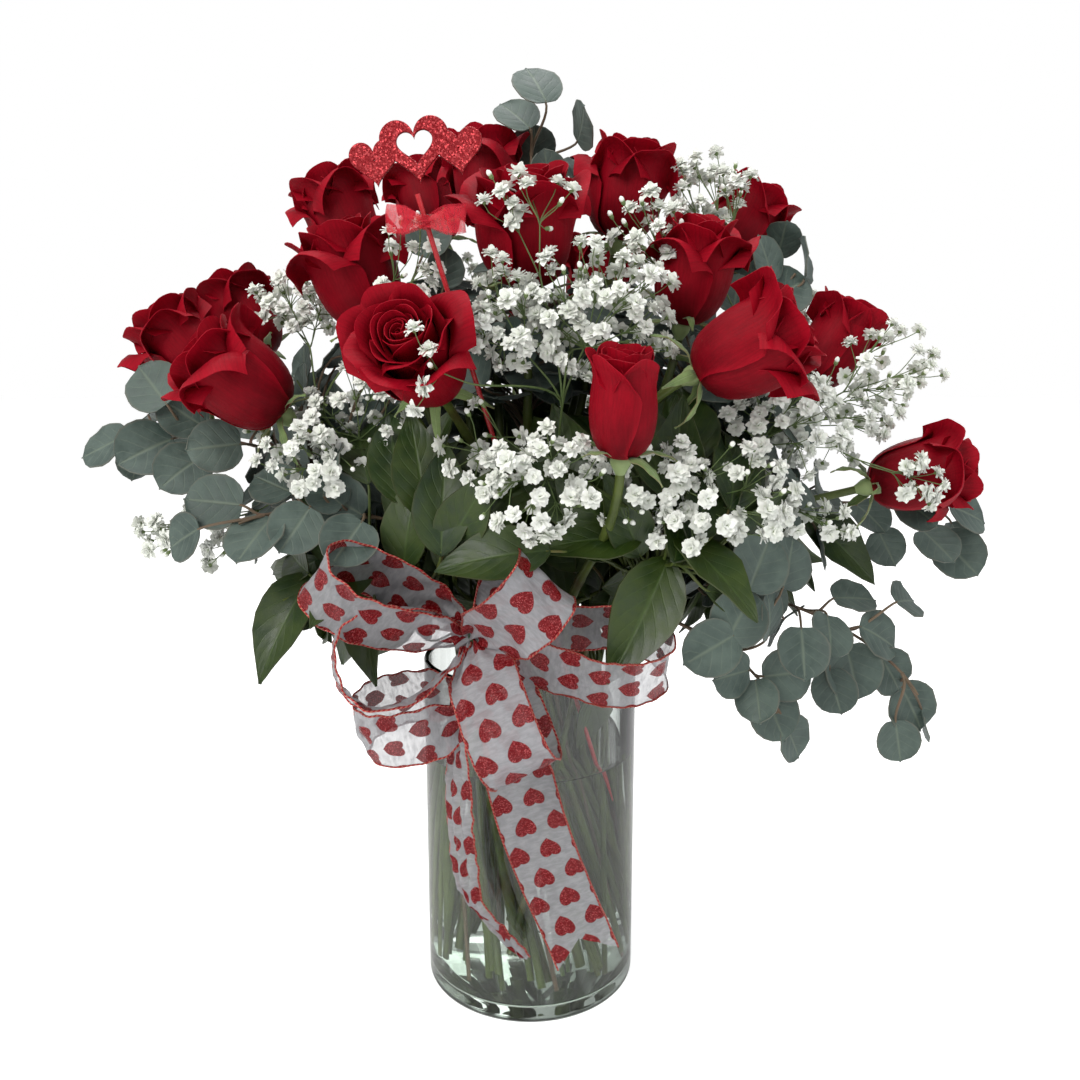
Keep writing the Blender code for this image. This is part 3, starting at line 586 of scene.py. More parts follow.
    def add_turned(self, profile: Sequence[tuple[float, float]], steps: int, finish: int = 0) -> None:
        """Adds a body turned about Z from (radius, height) points, from axis to axis."""
        inner = np.array(profile[1:-1])
        turn = np.arange(steps) * FULL_TURN / steps
        points = np.stack([
            inner[:, 0, None] * np.cos(turn), inner[:, 0, None] * np.sin(turn),
            np.repeat(inner[:, 1, None], steps, axis=1)], axis=-1)
        count = len(inner)
        first, last = np.arange(steps), np.arange(steps) + (count - 1) * steps
        low, high = count * steps, count * steps + 1
        fans = np.concatenate([
            np.stack([np.roll(first, -1), first, np.full(steps, low)], axis=1),
            np.stack([last, np.roll(last, -1), np.full(steps, high)], axis=1)])
        poles = [[0, 0, profile[0][1]], [0, 0, profile[-1][1]]]
        body = np.concatenate([points.reshape(-1, 3), poles])
        self.add(body, body[:, :2], np.zeros((len(body), 3)), ring_quads(count, steps), fans, finish)

    def add_copy(
        self, other: "Draft", turn: Vec, place: Vec, size: float, tint: float, finish: int = 0
    ) -> None:
        """Adds another draft turned, moved and scaled.

        Args:
            other: The draft to copy, which is left as it is.
            turn: The rotation, 3 by 3.
            place: Where its origin goes.
            size: How many times as large it becomes.
            tint: The copy's own tint.
            finish: Which of the piece's materials it has.
        """
        for points, spots, traits, quads in zip(other.points, other.spots, other.traits, other.quads):
            values = traits.copy()
            values[:, 2] = tint
            self.add(points @ turn.T * size + place, spots * size, values,
                     quads - quads.min() if len(quads) else quads, finish=finish)

    def joined(self) -> "Draft":
        """The same draft with its parts run together as one."""
        lists = {k: [np.concatenate(v)] for k, v in vars(self).items() if k != "count"}
        return Draft(**lists, count=self.count)

    def build(self, name: str, materials: Iterable[Material], crease: float = 50.0) -> bpy.types.Object:
        """Makes the object.

        Args:
            name: Its name.
            materials: Its materials, in the order of the finish numbers.
            crease: Edges sharper than this many degrees stay sharp.

        Returns:
            The new object, linked to the scene.
        """
        points, spots = np.concatenate(self.points), np.concatenate(self.spots)
        traits = np.concatenate(self.traits)
        quads, triangles = np.concatenate(self.quads), np.concatenate(self.triangles)
        finishes = np.concatenate(self.quad_finish + self.triangle_finish)
        corners = np.concatenate([quads.reshape(-1), triangles.reshape(-1)])
        three = len(quads) * 4 + np.arange(len(triangles)) * 3
        starts = np.concatenate([np.arange(len(quads)) * 4, three])
        mesh = bpy.data.meshes.new(name)
        mesh.vertices.add(len(points))
        mesh.vertices.foreach_set("co", points.astype(np.float32).reshape(-1))
        mesh.loops.add(len(corners))
        mesh.loops.foreach_set("vertex_index", corners.astype(np.int32))
        mesh.polygons.add(len(starts))
        mesh.polygons.foreach_set("loop_start", starts.astype(np.int32))
        mesh.polygons.foreach_set("material_index", finishes.astype(np.int32))
        mesh.update(calc_edges=True)
        layer = mesh.uv_layers.new(name="cut")
        layer.uv.foreach_set("vector", spots[corners].astype(np.float32).reshape(-1))
        values = mesh.attributes.new("trait", "FLOAT_VECTOR", "POINT")
        values.data.foreach_set("vector", traits.astype(np.float32).reshape(-1))
        mesh.shade_smooth()
        mesh.set_sharp_from_angle(angle=radians(crease))
        for material in materials:
            mesh.materials.append(material)
        return new_object(name, mesh)


def new_object(name: str, data: Any) -> bpy.types.Object:
    """A new object in the scene."""
    made = bpy.data.objects.new(name, data)
    bpy.context.scene.collection.objects.link(made)
    return made


def ring_quads(count: int, sides: int) -> Vec:
    """The faces between rings of points that follow each other."""
    index = np.arange(count * sides).reshape(count, sides)
    after = np.roll(index, -1, axis=1)
    return np.stack([index[:-1], after[:-1], after[1:], index[1:]], axis=-1).reshape(-1, 4)


def grid_quads(rows: int, cols: int) -> Vec:
    """The faces of a grid of points."""
    i = np.arange(rows * cols).reshape(rows, cols)
    return np.stack([i[:-1, :-1], i[:-1, 1:], i[1:, 1:], i[1:, :-1]], axis=-1).reshape(-1, 4)


def grid_normals(grid: Vec) -> Vec:
    """The unit normal at each point of a grid."""
    return unit(np.cross(np.gradient(grid, axis=1), np.gradient(grid, axis=0)))


def grid_spots(grid: Vec) -> Vec:
    """A flat place in metres for each point of a grid."""
    along = np.cumsum(np.linalg.norm(np.diff(grid, axis=0, prepend=grid[:1]), axis=2), axis=0)
    across = np.cumsum(np.linalg.norm(np.diff(grid, axis=1, prepend=grid[:, :1]), axis=2), axis=1)
    return np.stack([across - across[:, -1:] / 2, along], axis=-1)


def rim_of(rows: int, cols: int) -> Vec:
    """The points round a grid's rim, in the order of its faces."""
    i = np.arange(rows * cols).reshape(rows, cols)
    return np.concatenate([i[0, :-1], i[:-1, -1], i[-1, :0:-1], i[:0:-1, 0]])


def path_frames(path: Vec) -> tuple[Vec, Vec]:
    """Two directions square to a line at each of its points, which turn as little as they can."""
    ways = unit(np.gradient(path, axis=0))
    first = vec(0.0, 0.0, 1.0) if abs(ways[0, 2]) < 0.9 else vec(1.0, 0.0, 0.0)
    side = unit(np.cross(ways[0], first))
    sides = [side]
    for way in ways[1:]:
        side = unit(side - way * float(side @ way))
        sides.append(side)
    across = np.array(sides)
    return across, np.cross(ways, across)


def blade(
    outline: Outline, length: float, width: float, *, fold: float = 0.0, cup: float = 0.0,
    droop: float = 0.0, wave: float = 0.0, phase: float = 0.0, rows: int = 12, cols: int = 9,
) -> tuple[Vec, Vec]:
    """A leaf blade from its stalk at the origin along +Z, its face along +Y.

    Args:
        outline: The shape of its edge.
        length: From stalk to tip.
        width: At the widest.
        fold: Slope of the two halves up from the midrib.
        cup: How far the edges rise, over the width.
        droop: How far the tip bends back, in radians.
        wave: Size of the edge's ripple, over the width.
        phase: Where the ripple starts.
        rows: Points along it.
        cols: Points across it.

    Returns:
        The grid of points, and the trait of each with a tint of zero.
    """
    v = (1 - np.cos(np.linspace(0, pi, rows))) / 2
    u = np.linspace(-1, 1, cols)
    u = np.sign(u) * np.abs(u) ** 0.85
    if outline is Outline.ROUND:
        half = np.sqrt(np.clip(1 - np.abs(2 * v - 0.92) ** 2.1, 0, 1)) * (1 + 0.05 * (1 - v))
    elif outline is Outline.OVATE:
        half = np.sin(pi * v**0.78) ** 0.85 * (1 - 0.30 * v**2)
    else:
        half = np.sin(pi * (0.12 + 0.88 * v) ** 0.9) ** 0.8 * (1 - 0.35 * v)
    half = np.maximum(half * width / 2, 0.0004)
    turn = droop * v**1.3
    step = np.diff(v, prepend=0.0) * length
    z, y = np.cumsum(np.cos(turn) * step), -np.cumsum(np.sin(turn) * step)
    x = u * half[:, None]
    rise = np.abs(x) * fold + cup * width * u**2 * (half / half.max())[:, None]
    rise = rise + wave * width * np.sin(v * 15 + phase)[:, None] * (u**2 * np.sign(u))
    up, out = rise * np.cos(turn)[:, None], rise * np.sin(turn)[:, None]
    grid = np.stack([x, y[:, None] + up, z[:, None] + out], axis=-1)
    return grid, stacked(v[:, None], np.abs(u), 0.0)


# ---- Nodes
class Desk:
    """Short ways to add and link the nodes of one tree."""

    def __init__(self, tree: Tree) -> None:
        """Keeps the tree that the nodes go into."""
        self.tree = tree

    def node(self, kind: str, **settings: Any) -> Node:
        """Adds a node and sets its properties by name."""
        made = self.tree.nodes.new(kind)
        for name, value in settings.items():
            setattr(made, name, value)
        return made

    def set(self, socket: Socket, value: Any) -> None:
        """Gives a socket a value or a link."""
        if isinstance(value, Socket):
            self.tree.links.new(value, socket)
        elif socket.type == "RGBA" and len(value) == 3:
            socket.default_value = (*value, 1.0)
        else:
            socket.default_value = value

    def fill(self, made: Node, *values: Any) -> Socket:
        """Gives a node's inputs these values or links in order, and returns its first output."""
        for socket, value in zip(made.inputs, values):
            self.set(socket, value)
        return made.outputs[0]

    def feed(self, made: Node, **values: Any) -> Node:
        """Gives a node's inputs values or links, by name with _ for spaces."""
        for name, value in values.items():
            self.set(made.inputs[name.replace("_", " ")], value)
        return made

    def maths(self, operation: str, *values: Any, clamp: bool = False) -> Socket:
        """The result of one math step on numbers or sockets."""
        return self.fill(self.node("ShaderNodeMath", operation=operation, use_clamp=clamp), *values)

    def times(self, first: Any, second: Any) -> Socket:
        """The product of two numbers or sockets."""
        return self.maths("MULTIPLY", first, second)

    def plus(self, first: Any, second: Any) -> Socket:
        """The sum of two numbers or sockets."""
        return self.maths("ADD", first, second)

    def vectors(self, operation: str, *values: Any) -> Socket:
        """The result of one step on vectors."""
        return self.fill(self.node("ShaderNodeVectorMath", operation=operation), *values)

    def between(
        self, value: Any, low: float, high: float, to_low: float = 0.0, to_high: float = 1.0
    ) -> Socket:
        """A value run smoothly from one range to another, and held inside it."""
        made = self.node("ShaderNodeMapRange", interpolation_type="SMOOTHSTEP")
        return self.fill(made, value, low, high, to_low, to_high)

    def mapped(self, share: Any, first: float, last: float) -> Socket:
        """A share from 0 to 1 run evenly from one number to another."""
        return self.fill(self.node("ShaderNodeMapRange"), share, 0.0, 1.0, first, last)

    def blend(self, share: Any, first: Any, second: Any) -> Socket:
        """Two colours blended by a share."""
        made = self.node("ShaderNodeMix", data_type="RGBA", blend_type="MIX")
        for index, value in ((0, share), (6, first), (7, second)):
            self.set(made.inputs[index], value)
        return made.outputs[2]

    def noise(self, where: Any, scale: Any, detail: float = 3.0, rough: float = 0.5) -> Socket:
        """Soft noise from 0 to 1."""
        made = self.node("ShaderNodeTexNoise")
        return self.feed(made, Vector=where, Scale=scale, Detail=detail, Roughness=rough).outputs[0]

    def stretched(self, where: Any, scale: tuple[float, float, float]) -> Socket:
        """A place scaled by a different number each way."""
        return self.vectors("MULTIPLY", where, scale)

    def place(self) -> Socket:
        """Where the surface is, in metres."""
        return self.node("ShaderNodeTexCoord").outputs["Object"]

    def cut(self) -> Socket:
        """The flat place on the piece, in metres."""
        return self.node("ShaderNodeUVMap", uv_map="cut").outputs[0]

    def split(self, vector: Socket) -> list[Socket]:
        """The three numbers of a vector."""
        return list(self.feed(self.node("ShaderNodeSeparateXYZ"), Vector=vector).outputs)

    def trait(self) -> list[Socket]:
        """Along, edge and tint."""
        found = self.node("ShaderNodeAttribute", attribute_name="trait")
        return self.split(found.outputs["Vector"])

    def camera_ray(self) -> Socket:
        """One for what the camera sees directly."""
        return self.node("ShaderNodeLightPath").outputs["Is Camera Ray"]

    def bump(self, height: Any, distance: float, strength: float = 1.0) -> Socket:
        """A normal raised by a height."""
        made = self.node("ShaderNodeBump")
        return self.feed(made, Strength=strength, Distance=distance, Height=height).outputs[0]

    def group(self, tree: Tree, **values: Any) -> Node:
        """Places a node group and gives its inputs values or links, by name with _ for spaces."""
        return self.feed(self.node("ShaderNodeGroup", node_tree=tree), **values)


def new_group(
    name: str, inputs: Sequence[tuple[str, str, Any]], outputs: Sequence[tuple[str, str]]
) -> tuple[Desk, dict[str, Socket], dict[str, Socket]]:
    """An empty node group with named sockets.

    Args:
        name: The group's name.
        inputs: Name, kind and usual value of each input.
        outputs: Name and kind of each output.

    Returns:
        Its desk, its inputs as sockets to link from, and its outputs as sockets to link to.
    """
    tree = bpy.data.node_groups.new(name, "ShaderNodeTree")
    for label, kind, value in inputs:
        socket = tree.interface.new_socket(label, in_out="INPUT", socket_type=f"NodeSocket{kind}")
        if value is not None:
            socket.default_value = (*value, 1.0) if kind == "Color" else value
    for label, kind in outputs:
        tree.interface.new_socket(label, in_out="OUTPUT", socket_type=f"NodeSocket{kind}")
    desk = Desk(tree)
    start, end = desk.node("NodeGroupInput"), desk.node("NodeGroupOutput")
    have, give = ({s.name: s for s in side if s.name} for side in (start.outputs, end.inputs))
    return desk, have, give


class Effects:
    """The effects that several finishes share, each built once as a node group."""

    def __init__(self) -> None:
        """Builds the groups."""
        self.mottle = self.make_mottle()
        self.veins = self.make_veins()
        self.flakes = self.make_flakes()
        self.hearts = self.make_hearts()

    def mottled(
        self, desk: Desk, first: Any, second: Any, patch: float, grain: float, tint: Any
    ) -> Node:
        """The soft mottle of two colours, placed in a material."""
        return desk.group(self.mottle, Place=desk.place(), First=first, Second=second,
                          Patch_Scale=patch, Grain_Scale=grain, Tint=tint)

    def make_mottle(self) -> Tree:
        """Two colours in soft patches, with a little fine grain."""
        desk, have, give = new_group(
            "soft_mottle",
            [("Place", "Vector", None), ("First", "Color", (1, 1, 1)), ("Second", "Color", (0, 0, 0)),
             ("Patch Scale", "Float", 60.0), ("Grain Scale", "Float", 900.0), ("Tint", "Float", 0.5)],
            [("Colour", "Color"), ("Patches", "Float"), ("Grain", "Float")],
        )
        patch = desk.noise(have["Place"], have["Patch Scale"], 4.0, 0.6)
        grain = desk.noise(have["Place"], have["Grain Scale"], 2.0, 0.6)
        patches = desk.between(patch, 0.33, 0.67)
        share = desk.plus(desk.times(patches, 0.55), desk.times(have["Tint"], 0.35))
        share = desk.maths("ADD", share, desk.times(grain, 0.20), clamp=True)
        desk.set(give["Colour"], desk.blend(share, have["First"], have["Second"]))
        desk.set(give["Patches"], patches)
        desk.set(give["Grain"], grain)
        return desk.tree

    def make_veins(self) -> Tree:
        """A leaf's midrib and side veins, from how far along and how near the edge a point is."""
        desk, have, give = new_group(
            "leaf_veins",
            [("Along", "Float", 0.0), ("Edge", "Float", 0.0), ("Pairs", "Float", 7.0),
             ("Slant", "Float", 0.35), ("Side Strength", "Float", 0.6)],
            [("Veins", "Float"), ("Height", "Float")],
        )
        midrib = desk.between(have["Edge"], 0.0, 0.10, 1.0, 0.0)
        slanted = desk.maths("SUBTRACT", have["Along"], desk.times(have["Edge"], have["Slant"]))
        wave = desk.maths("SINE", desk.times(slanted, desk.times(have["Pairs"], FULL_TURN)))
        side = desk.times(desk.between(wave, 0.86, 1.0), have["Side Strength"])
        side = desk.times(side, desk.between(have["Edge"], 0.55, 1.0, 1.0, 0.0))
        veins = desk.maths("MAXIMUM", midrib, side)
        quilt = desk.times(desk.times(wave, -0.4), have["Side Strength"])
        desk.set(give["Veins"], veins)
        desk.set(give["Height"], desk.maths("SUBTRACT", quilt, veins))
        return desk.tree

    def make_flakes(self) -> Tree:
        """Glitter: flat flakes that each lie at their own angle, the brightest with a painted glint."""
        desk, have, give = new_group(
            "glitter_flakes",
            [("Place", "Vector", None), ("Colour", "Color", (0.6, 0.01, 0.02)),
             ("Flake Scale", "Float", 2600.0)],
            [("Colour", "Color"), ("Roughness", "Float"), ("Normal", "Vector")],
        )
        cells = desk.feed(desk.node("ShaderNodeTexVoronoi"), Vector=have["Place"],
                          Scale=have["Flake Scale"]).outputs["Color"]
        tilt = desk.stretched(desk.vectors("SUBTRACT", cells, (0.5, 0.5, 0.5)), (0.9, 0.9, 0.9))
        surface = desk.node("ShaderNodeNewGeometry").outputs["Normal"]
        flat = desk.vectors("NORMALIZE", desk.vectors("ADD", surface, tilt))
        parts = desk.feed(desk.node("ShaderNodeSeparateColor"), Color=cells).outputs
        # Flakes in the brightest cells get a painted glint, the colour paled towards pink; the others keep the
        # colour at about half its brightness.
        painted_glint = desk.between(parts[0], 0.72, 1.0)
        desk.set(give["Colour"], desk.blend(painted_glint, desk.blend(0.55, have["Colour"], (0, 0, 0)),
                                            desk.blend(0.20, have["Colour"], (1.0, 0.40, 0.40))))
        desk.set(give["Roughness"], desk.between(parts[1], 0.0, 1.0, 0.18, 0.5))
        desk.set(give["Normal"], flat)
        return desk.tree

    def make_hearts(self) -> Tree:
        """Small hearts in staggered columns, on a flat place in metres."""
        desk, have, give = new_group(
            "heart_print",
            [("Place", "Vector", None), ("Column", "Float", 0.018), ("Period", "Float", 0.031),
             ("Half Size", "Float", 0.0051)],
            [("Mask", "Float")],
        )
        column, row, _ = desk.split(have["Place"])
        masks = []
        for shift in (0.0, 0.5):
            local = []
            for part, period in ((column, have["Column"]), (row, have["Period"])):
                share = desk.plus(desk.maths("DIVIDE", part, period), 64.25 + shift)
                share = desk.maths("SUBTRACT", desk.maths("FRACT", share), 0.5)
                local.append(desk.maths("DIVIDE", desk.times(share, period), have["Half Size"]))
            x, y = local[0], desk.plus(local[1], 0.1)
            xx, yy = desk.times(x, x), desk.times(y, y)
            ball = desk.maths("SUBTRACT", desk.plus(xx, yy), 1.0)
            notch = desk.times(desk.maths("POWER", desk.maths("ABSOLUTE", x), 2 / 3), y)
            masks.append(desk.between(desk.maths("SUBTRACT", ball, notch), -0.08, 0.08, 1.0, 0.0))
        desk.set(give["Mask"], desk.maths("MAXIMUM", *masks))
        return desk.tree


# ---- Finishes
@dataclass(frozen=True)
class Finish:
    """A finish that dresses pieces."""

    name: str
    slot: str

    def material(self, effects: Effects) -> Material:
        """Builds the material."""
        made = bpy.data.materials.new(self.name)
        made.use_nodes = True
        self.paint(Desk(made.node_tree), made.node_tree.nodes["Principled BSDF"], effects)
        return made

    def paint(self, desk: Desk, shader: Node, effects: Effects) -> None:
        """Gives the shader its values and links; each finish has its own.

        Args:
            desk: The desk of the material's tree.
            shader: The material's Principled shader.
            effects: The shared effects.
        """


@dataclass(frozen=True)
class PetalFinish(Finish):
    """Velvety petals, with painted shade that darkens the base and a painted highlight that brightens the rim."""

    # The deep red of the painted shade at the petal's base, which the veins also darken towards.
    painted_shade_and_vein_red: Colour = (0.034, 0.0001, 0.0016)
    body: Colour = (0.205, 0.0004, 0.0068)
    # The rim red: the colour of a painted highlight along the rim, and one end of the random mottle.
    rim: Colour = (0.400, 0.0024, 0.0150)

    def paint(self, desk: Desk, shader: Node, effects: Effects) -> None:
        """Gives the shader its values and links."""
        desk.feed(shader, Specular_IOR_Level=0.10, Sheen_Weight=0.05, Sheen_Roughness=0.35,
                  Sheen_Tint=(0.9, 0.04, 0.08))
        along, edge, tint = desk.trait()
        streak = desk.noise(desk.stretched(desk.cut(), (900.0, 60.0, 1.0)), 1.0, 4.0, 0.65)
        # Painted shade: the petal darkens from its middle down to its base, deep in the bloom.
        base = desk.blend(desk.between(along, 0.05, 0.75), self.painted_shade_and_vein_red, self.body)
        second = desk.blend(0.42, base, self.rim)
        mottle = effects.mottled(desk, base, second, 70.0, 1500.0, tint)
        colour = mottle.outputs["Colour"]
        # Painted highlight: the petal's rim is brightened towards the rim red.
        lip = desk.times(desk.between(edge, 0.72, 1.0), 0.55)
        colour = desk.blend(lip, colour, self.rim)
        # Veins along the petal darken it towards the same deep red.
        dark = desk.times(desk.between(streak, 0.35, 0.75), 0.30)
        colour = desk.blend(dark, colour, self.painted_shade_and_vein_red)
        rough = desk.between(mottle.outputs["Grain"], 0.3, 0.7, 0.50, 0.66)
        height = desk.plus(streak, desk.times(mottle.outputs["Grain"], 0.5))
        desk.feed(shader, Base_Color=colour, Roughness=rough, Normal=desk.bump(height, 0.00018, 0.8))


@dataclass(frozen=True)
class StemFinish(Finish):
    """A green stem with streaks along it, ruddy patches and a paler fresh cut."""

    light: Colour = (0.105, 0.140, 0.026)
    dark: Colour = (0.028, 0.048, 0.009)
    blush: Colour = (0.085, 0.045, 0.020)
    pith: Colour = (0.360, 0.400, 0.200)
    roughness: float = 0.45

    def paint(self, desk: Desk, shader: Node, effects: Effects) -> None:
        """Gives the shader its values and links."""
        desk.feed(shader, Roughness=self.roughness, Specular_IOR_Level=0.4)
        _, edge, tint = desk.trait()
        streak = desk.noise(desk.stretched(desk.cut(), (14.0, 60.0, 1.0)), 1.0, 3.0)
        mottle = effects.mottled(desk, self.dark, self.light, 45.0, 1200.0, tint)
        ruddy = desk.times(desk.between(desk.noise(desk.place(), 26.0), 0.56, 0.72), 0.55)
        colour = desk.blend(ruddy, mottle.outputs["Colour"], self.blush)
        colour = desk.blend(desk.between(edge, 0.4, 0.6), colour, self.pith)
        desk.feed(shader, Base_Color=colour, Normal=desk.bump(streak, 0.0004, 0.5))


@dataclass(frozen=True)
class LeafFinish(Finish):
    """A leaf with a midrib, side veins, a bloom of wax and a thin pale rim."""

    light: Colour = (0.088, 0.125, 0.105)
    dark: Colour = (0.024, 0.046, 0.038)
    vein: Colour = (0.14, 0.18, 0.13)
    edge: Colour = (0.12, 0.12, 0.09)
    pairs: float = 5.0
    side_strength: float = 0.35
    relief: float = 0.0003
    gloss: tuple[float, float] = (0.50, 0.65)
    sheen: float = 0.15
    coat: float = 0.0

    def paint(self, desk: Desk, shader: Node, effects: Effects) -> None:
        """Gives the shader its values and links."""
        desk.feed(shader, Sheen_Weight=self.sheen, Sheen_Roughness=0.5,
                                        Sheen_Tint=(0.8, 0.9, 0.9), Coat_Weight=self.coat,
                                        Coat_Roughness=0.18)
        along, edge, tint = desk.trait()
        mottle = effects.mottled(desk, self.dark, self.light, 85.0, 1400.0, tint)
        veins = desk.group(effects.veins, Along=along, Edge=edge, Pairs=self.pairs,
                           Side_Strength=self.side_strength)
        colour = desk.blend(desk.times(veins.outputs["Veins"], 0.65),
                            mottle.outputs["Colour"], self.vein)
        colour = desk.blend(desk.times(desk.between(edge, 0.90, 1.0), 0.6), colour, self.edge)
        rough = desk.between(mottle.outputs["Patches"], 0.0, 1.0, *self.gloss)
        height = desk.plus(veins.outputs["Height"], desk.times(mottle.outputs["Grain"], 0.35))
        desk.feed(shader, Base_Color=colour, Roughness=rough, Normal=desk.bump(height, self.relief, 0.7))


@dataclass(frozen=True)
class BlossomFinish(Finish):
    """Papery white petals, a little green in the heart."""

    white: Colour = (0.95, 0.96, 0.93)
    shade: Colour = (0.82, 0.85, 0.78)
    heart: Colour = (0.42, 0.52, 0.28)

    def paint(self, desk: Desk, shader: Node, effects: Effects) -> None:
        """Gives the shader its values and links."""
        desk.feed(shader, Roughness=0.6, Specular_IOR_Level=0.2, Sheen_Weight=0.2)
        along, _, tint = desk.trait()
        mottle = effects.mottled(desk, self.white, self.shade, 300.0, 2500.0, tint)
        inner = desk.between(along, 0.0, 0.45, 0.85, 0.0)
        colour = desk.blend(inner, mottle.outputs["Colour"], self.heart)
        bump = desk.bump(mottle.outputs["Grain"], 0.0002, 0.5)
        desk.feed(shader, Base_Color=colour, Normal=bump)


@dataclass(frozen=True)
class SheerFinish(Finish):
    """Sheer woven ribbon, with or without printed glitter hearts."""

    thread: Colour = (0.36, 0.36, 0.38)
    print_colour: Colour = (0.33, 0.001, 0.007)
    cover: tuple[float, float] = (0.64, 0.84)
    hearts: bool = True

    def paint(self, desk: Desk, shader: Node, effects: Effects) -> None:
        """Gives the shader its values and links."""
        desk.feed(shader, Specular_IOR_Level=0.22, Sheen_Weight=0.05, Sheen_Roughness=0.3)
        cut = desk.cut()
        crease = desk.noise(desk.stretched(cut, (150.0, 420.0, 1.0)), 1.0, 4.0, 0.6)
        weave = desk.noise(desk.stretched(cut, (2600.0, 2600.0, 1.0)), 1.0, 1.0)
        colour: Any = self.thread
        rough: Any = desk.between(crease, 0.3, 0.7, 0.35, 0.55)
        cover: Any = desk.between(crease, 0.35, 0.70, *self.cover)
        if self.hearts:
            mask = desk.group(effects.hearts, Place=cut).outputs["Mask"]
            flakes = desk.group(effects.flakes, Place=desk.place(), Colour=self.print_colour)
            # The printed hearts take the flakes' colour with its painted glint.
            colour = desk.blend(mask, self.thread, flakes.outputs["Colour"])
            cover = desk.maths("MAXIMUM", cover, desk.times(mask, 0.97))
            rough = desk.times(rough, desk.between(mask, 0.0, 1.0, 1.0, 0.6))
        bump = desk.bump(desk.plus(crease, desk.times(weave, 0.15)), 0.0009, 0.8)
        desk.feed(shader, Base_Color=colour, Roughness=rough, Alpha=cover, Normal=bump)


@dataclass(frozen=True)
class GlitterFinish(Finish):
    """Packed glitter, whose flakes carry a painted glint."""

    colour: Colour = (0.62, 0.008, 0.020)

    def paint(self, desk: Desk, shader: Node, effects: Effects) -> None:
        """Gives the shader its values and links."""
        desk.feed(shader, Metallic=0.55, Specular_IOR_Level=0.6)
        flakes = desk.group(effects.flakes, Place=desk.place(), Colour=self.colour, Flake_Scale=1500.0)
        colour, rough, normal = flakes.outputs[:3]
        desk.feed(shader, Base_Color=colour, Roughness=rough, Normal=normal)


@dataclass(frozen=True)
class WireFinish(Finish):
    """Two threads or wires twisted together."""

    first: Colour = (0.36, 0.008, 0.014)
    second: Colour = (0.46, 0.15, 0.11)
    metal: float = 0.6
    turns: float = 420.0

    def paint(self, desk: Desk, shader: Node, effects: Effects) -> None:
        """Gives the shader its values and links."""
        desk.feed(shader, Metallic=self.metal, Roughness=0.32)
        around, along, _ = desk.split(desk.cut())
        phase = desk.plus(around, desk.times(along, self.turns))
        strand = desk.maths("SINE", desk.times(phase, FULL_TURN))
        colour = desk.blend(desk.between(strand, -0.3, 0.3), self.first, self.second)
        bump = desk.bump(desk.maths("ABSOLUTE", strand), 0.0003, 0.8)
        desk.feed(shader, Base_Color=colour, Normal=bump)


@dataclass(frozen=True)
class PlasticFinish(Finish):
    """Smooth moulded plastic with faint scuffs."""

    colour: Colour = (0.60, 0.010, 0.020)

    def paint(self, desk: Desk, shader: Node, effects: Effects) -> None:
        """Gives the shader its values and links."""
        desk.feed(shader, Coat_Weight=0.2)
        worn = tuple(0.7 * c for c in self.colour)
        mottle = effects.mottled(desk, self.colour, worn, 120.0, 900.0, 0.5)
        rough = desk.between(mottle.outputs["Grain"], 0.3, 0.7, 0.25, 0.40)
        desk.feed(shader, Base_Color=mottle.outputs["Colour"], Roughness=rough)


@dataclass(frozen=True)
class ClearFinish(Finish):
    """Clear glass or water, through which the lamps shine, with a painted tint at grazing angles."""

    ior: float = 1.50
    body: Colour = (0.880, 0.920, 0.900)
    # The painted tint at grazing angles: on the glass a dark grey-green, a painted reflection of a dark surround;
    # on the water a pale tint.
    painted_grazing_tint: Colour = (0.10, 0.14, 0.12)
    shadow: Colour = (0.93, 0.95, 0.94)
    ripple: float = 0.0

    def paint(self, desk: Desk, shader: Node, effects: Effects) -> None:
        """Gives the shader its values and links."""
        desk.feed(shader, Roughness=0.0, IOR=self.ior, Transmission_Weight=1.0,
                  Specular_IOR_Level=0.2)
        # Towards grazing angles the colour turns to the painted tint, which stands in for what the edges reflect.
        layer = desk.feed(desk.node("ShaderNodeLayerWeight"), Blend=0.35)
        share = desk.between(layer.outputs["Facing"], 0.60, 1.0)
        desk.feed(shader, Base_Color=desk.blend(share, self.body, self.painted_grazing_tint))
        if self.ripple:
            wave = desk.noise(desk.place(), 18.0, 1.0)
            desk.feed(shader, Normal=desk.bump(wave, self.ripple, 0.5))
        clear = desk.feed(desk.node("ShaderNodeBsdfTransparent"), Color=self.shadow)
        shadow_ray = desk.node("ShaderNodeLightPath").outputs["Is Shadow Ray"]
        mix = desk.node("ShaderNodeMixShader")
        surface = desk.fill(mix, shadow_ray, shader.outputs[0], clear.outputs[0])
        desk.feed(desk.tree.nodes["Material Output"], Surface=surface)


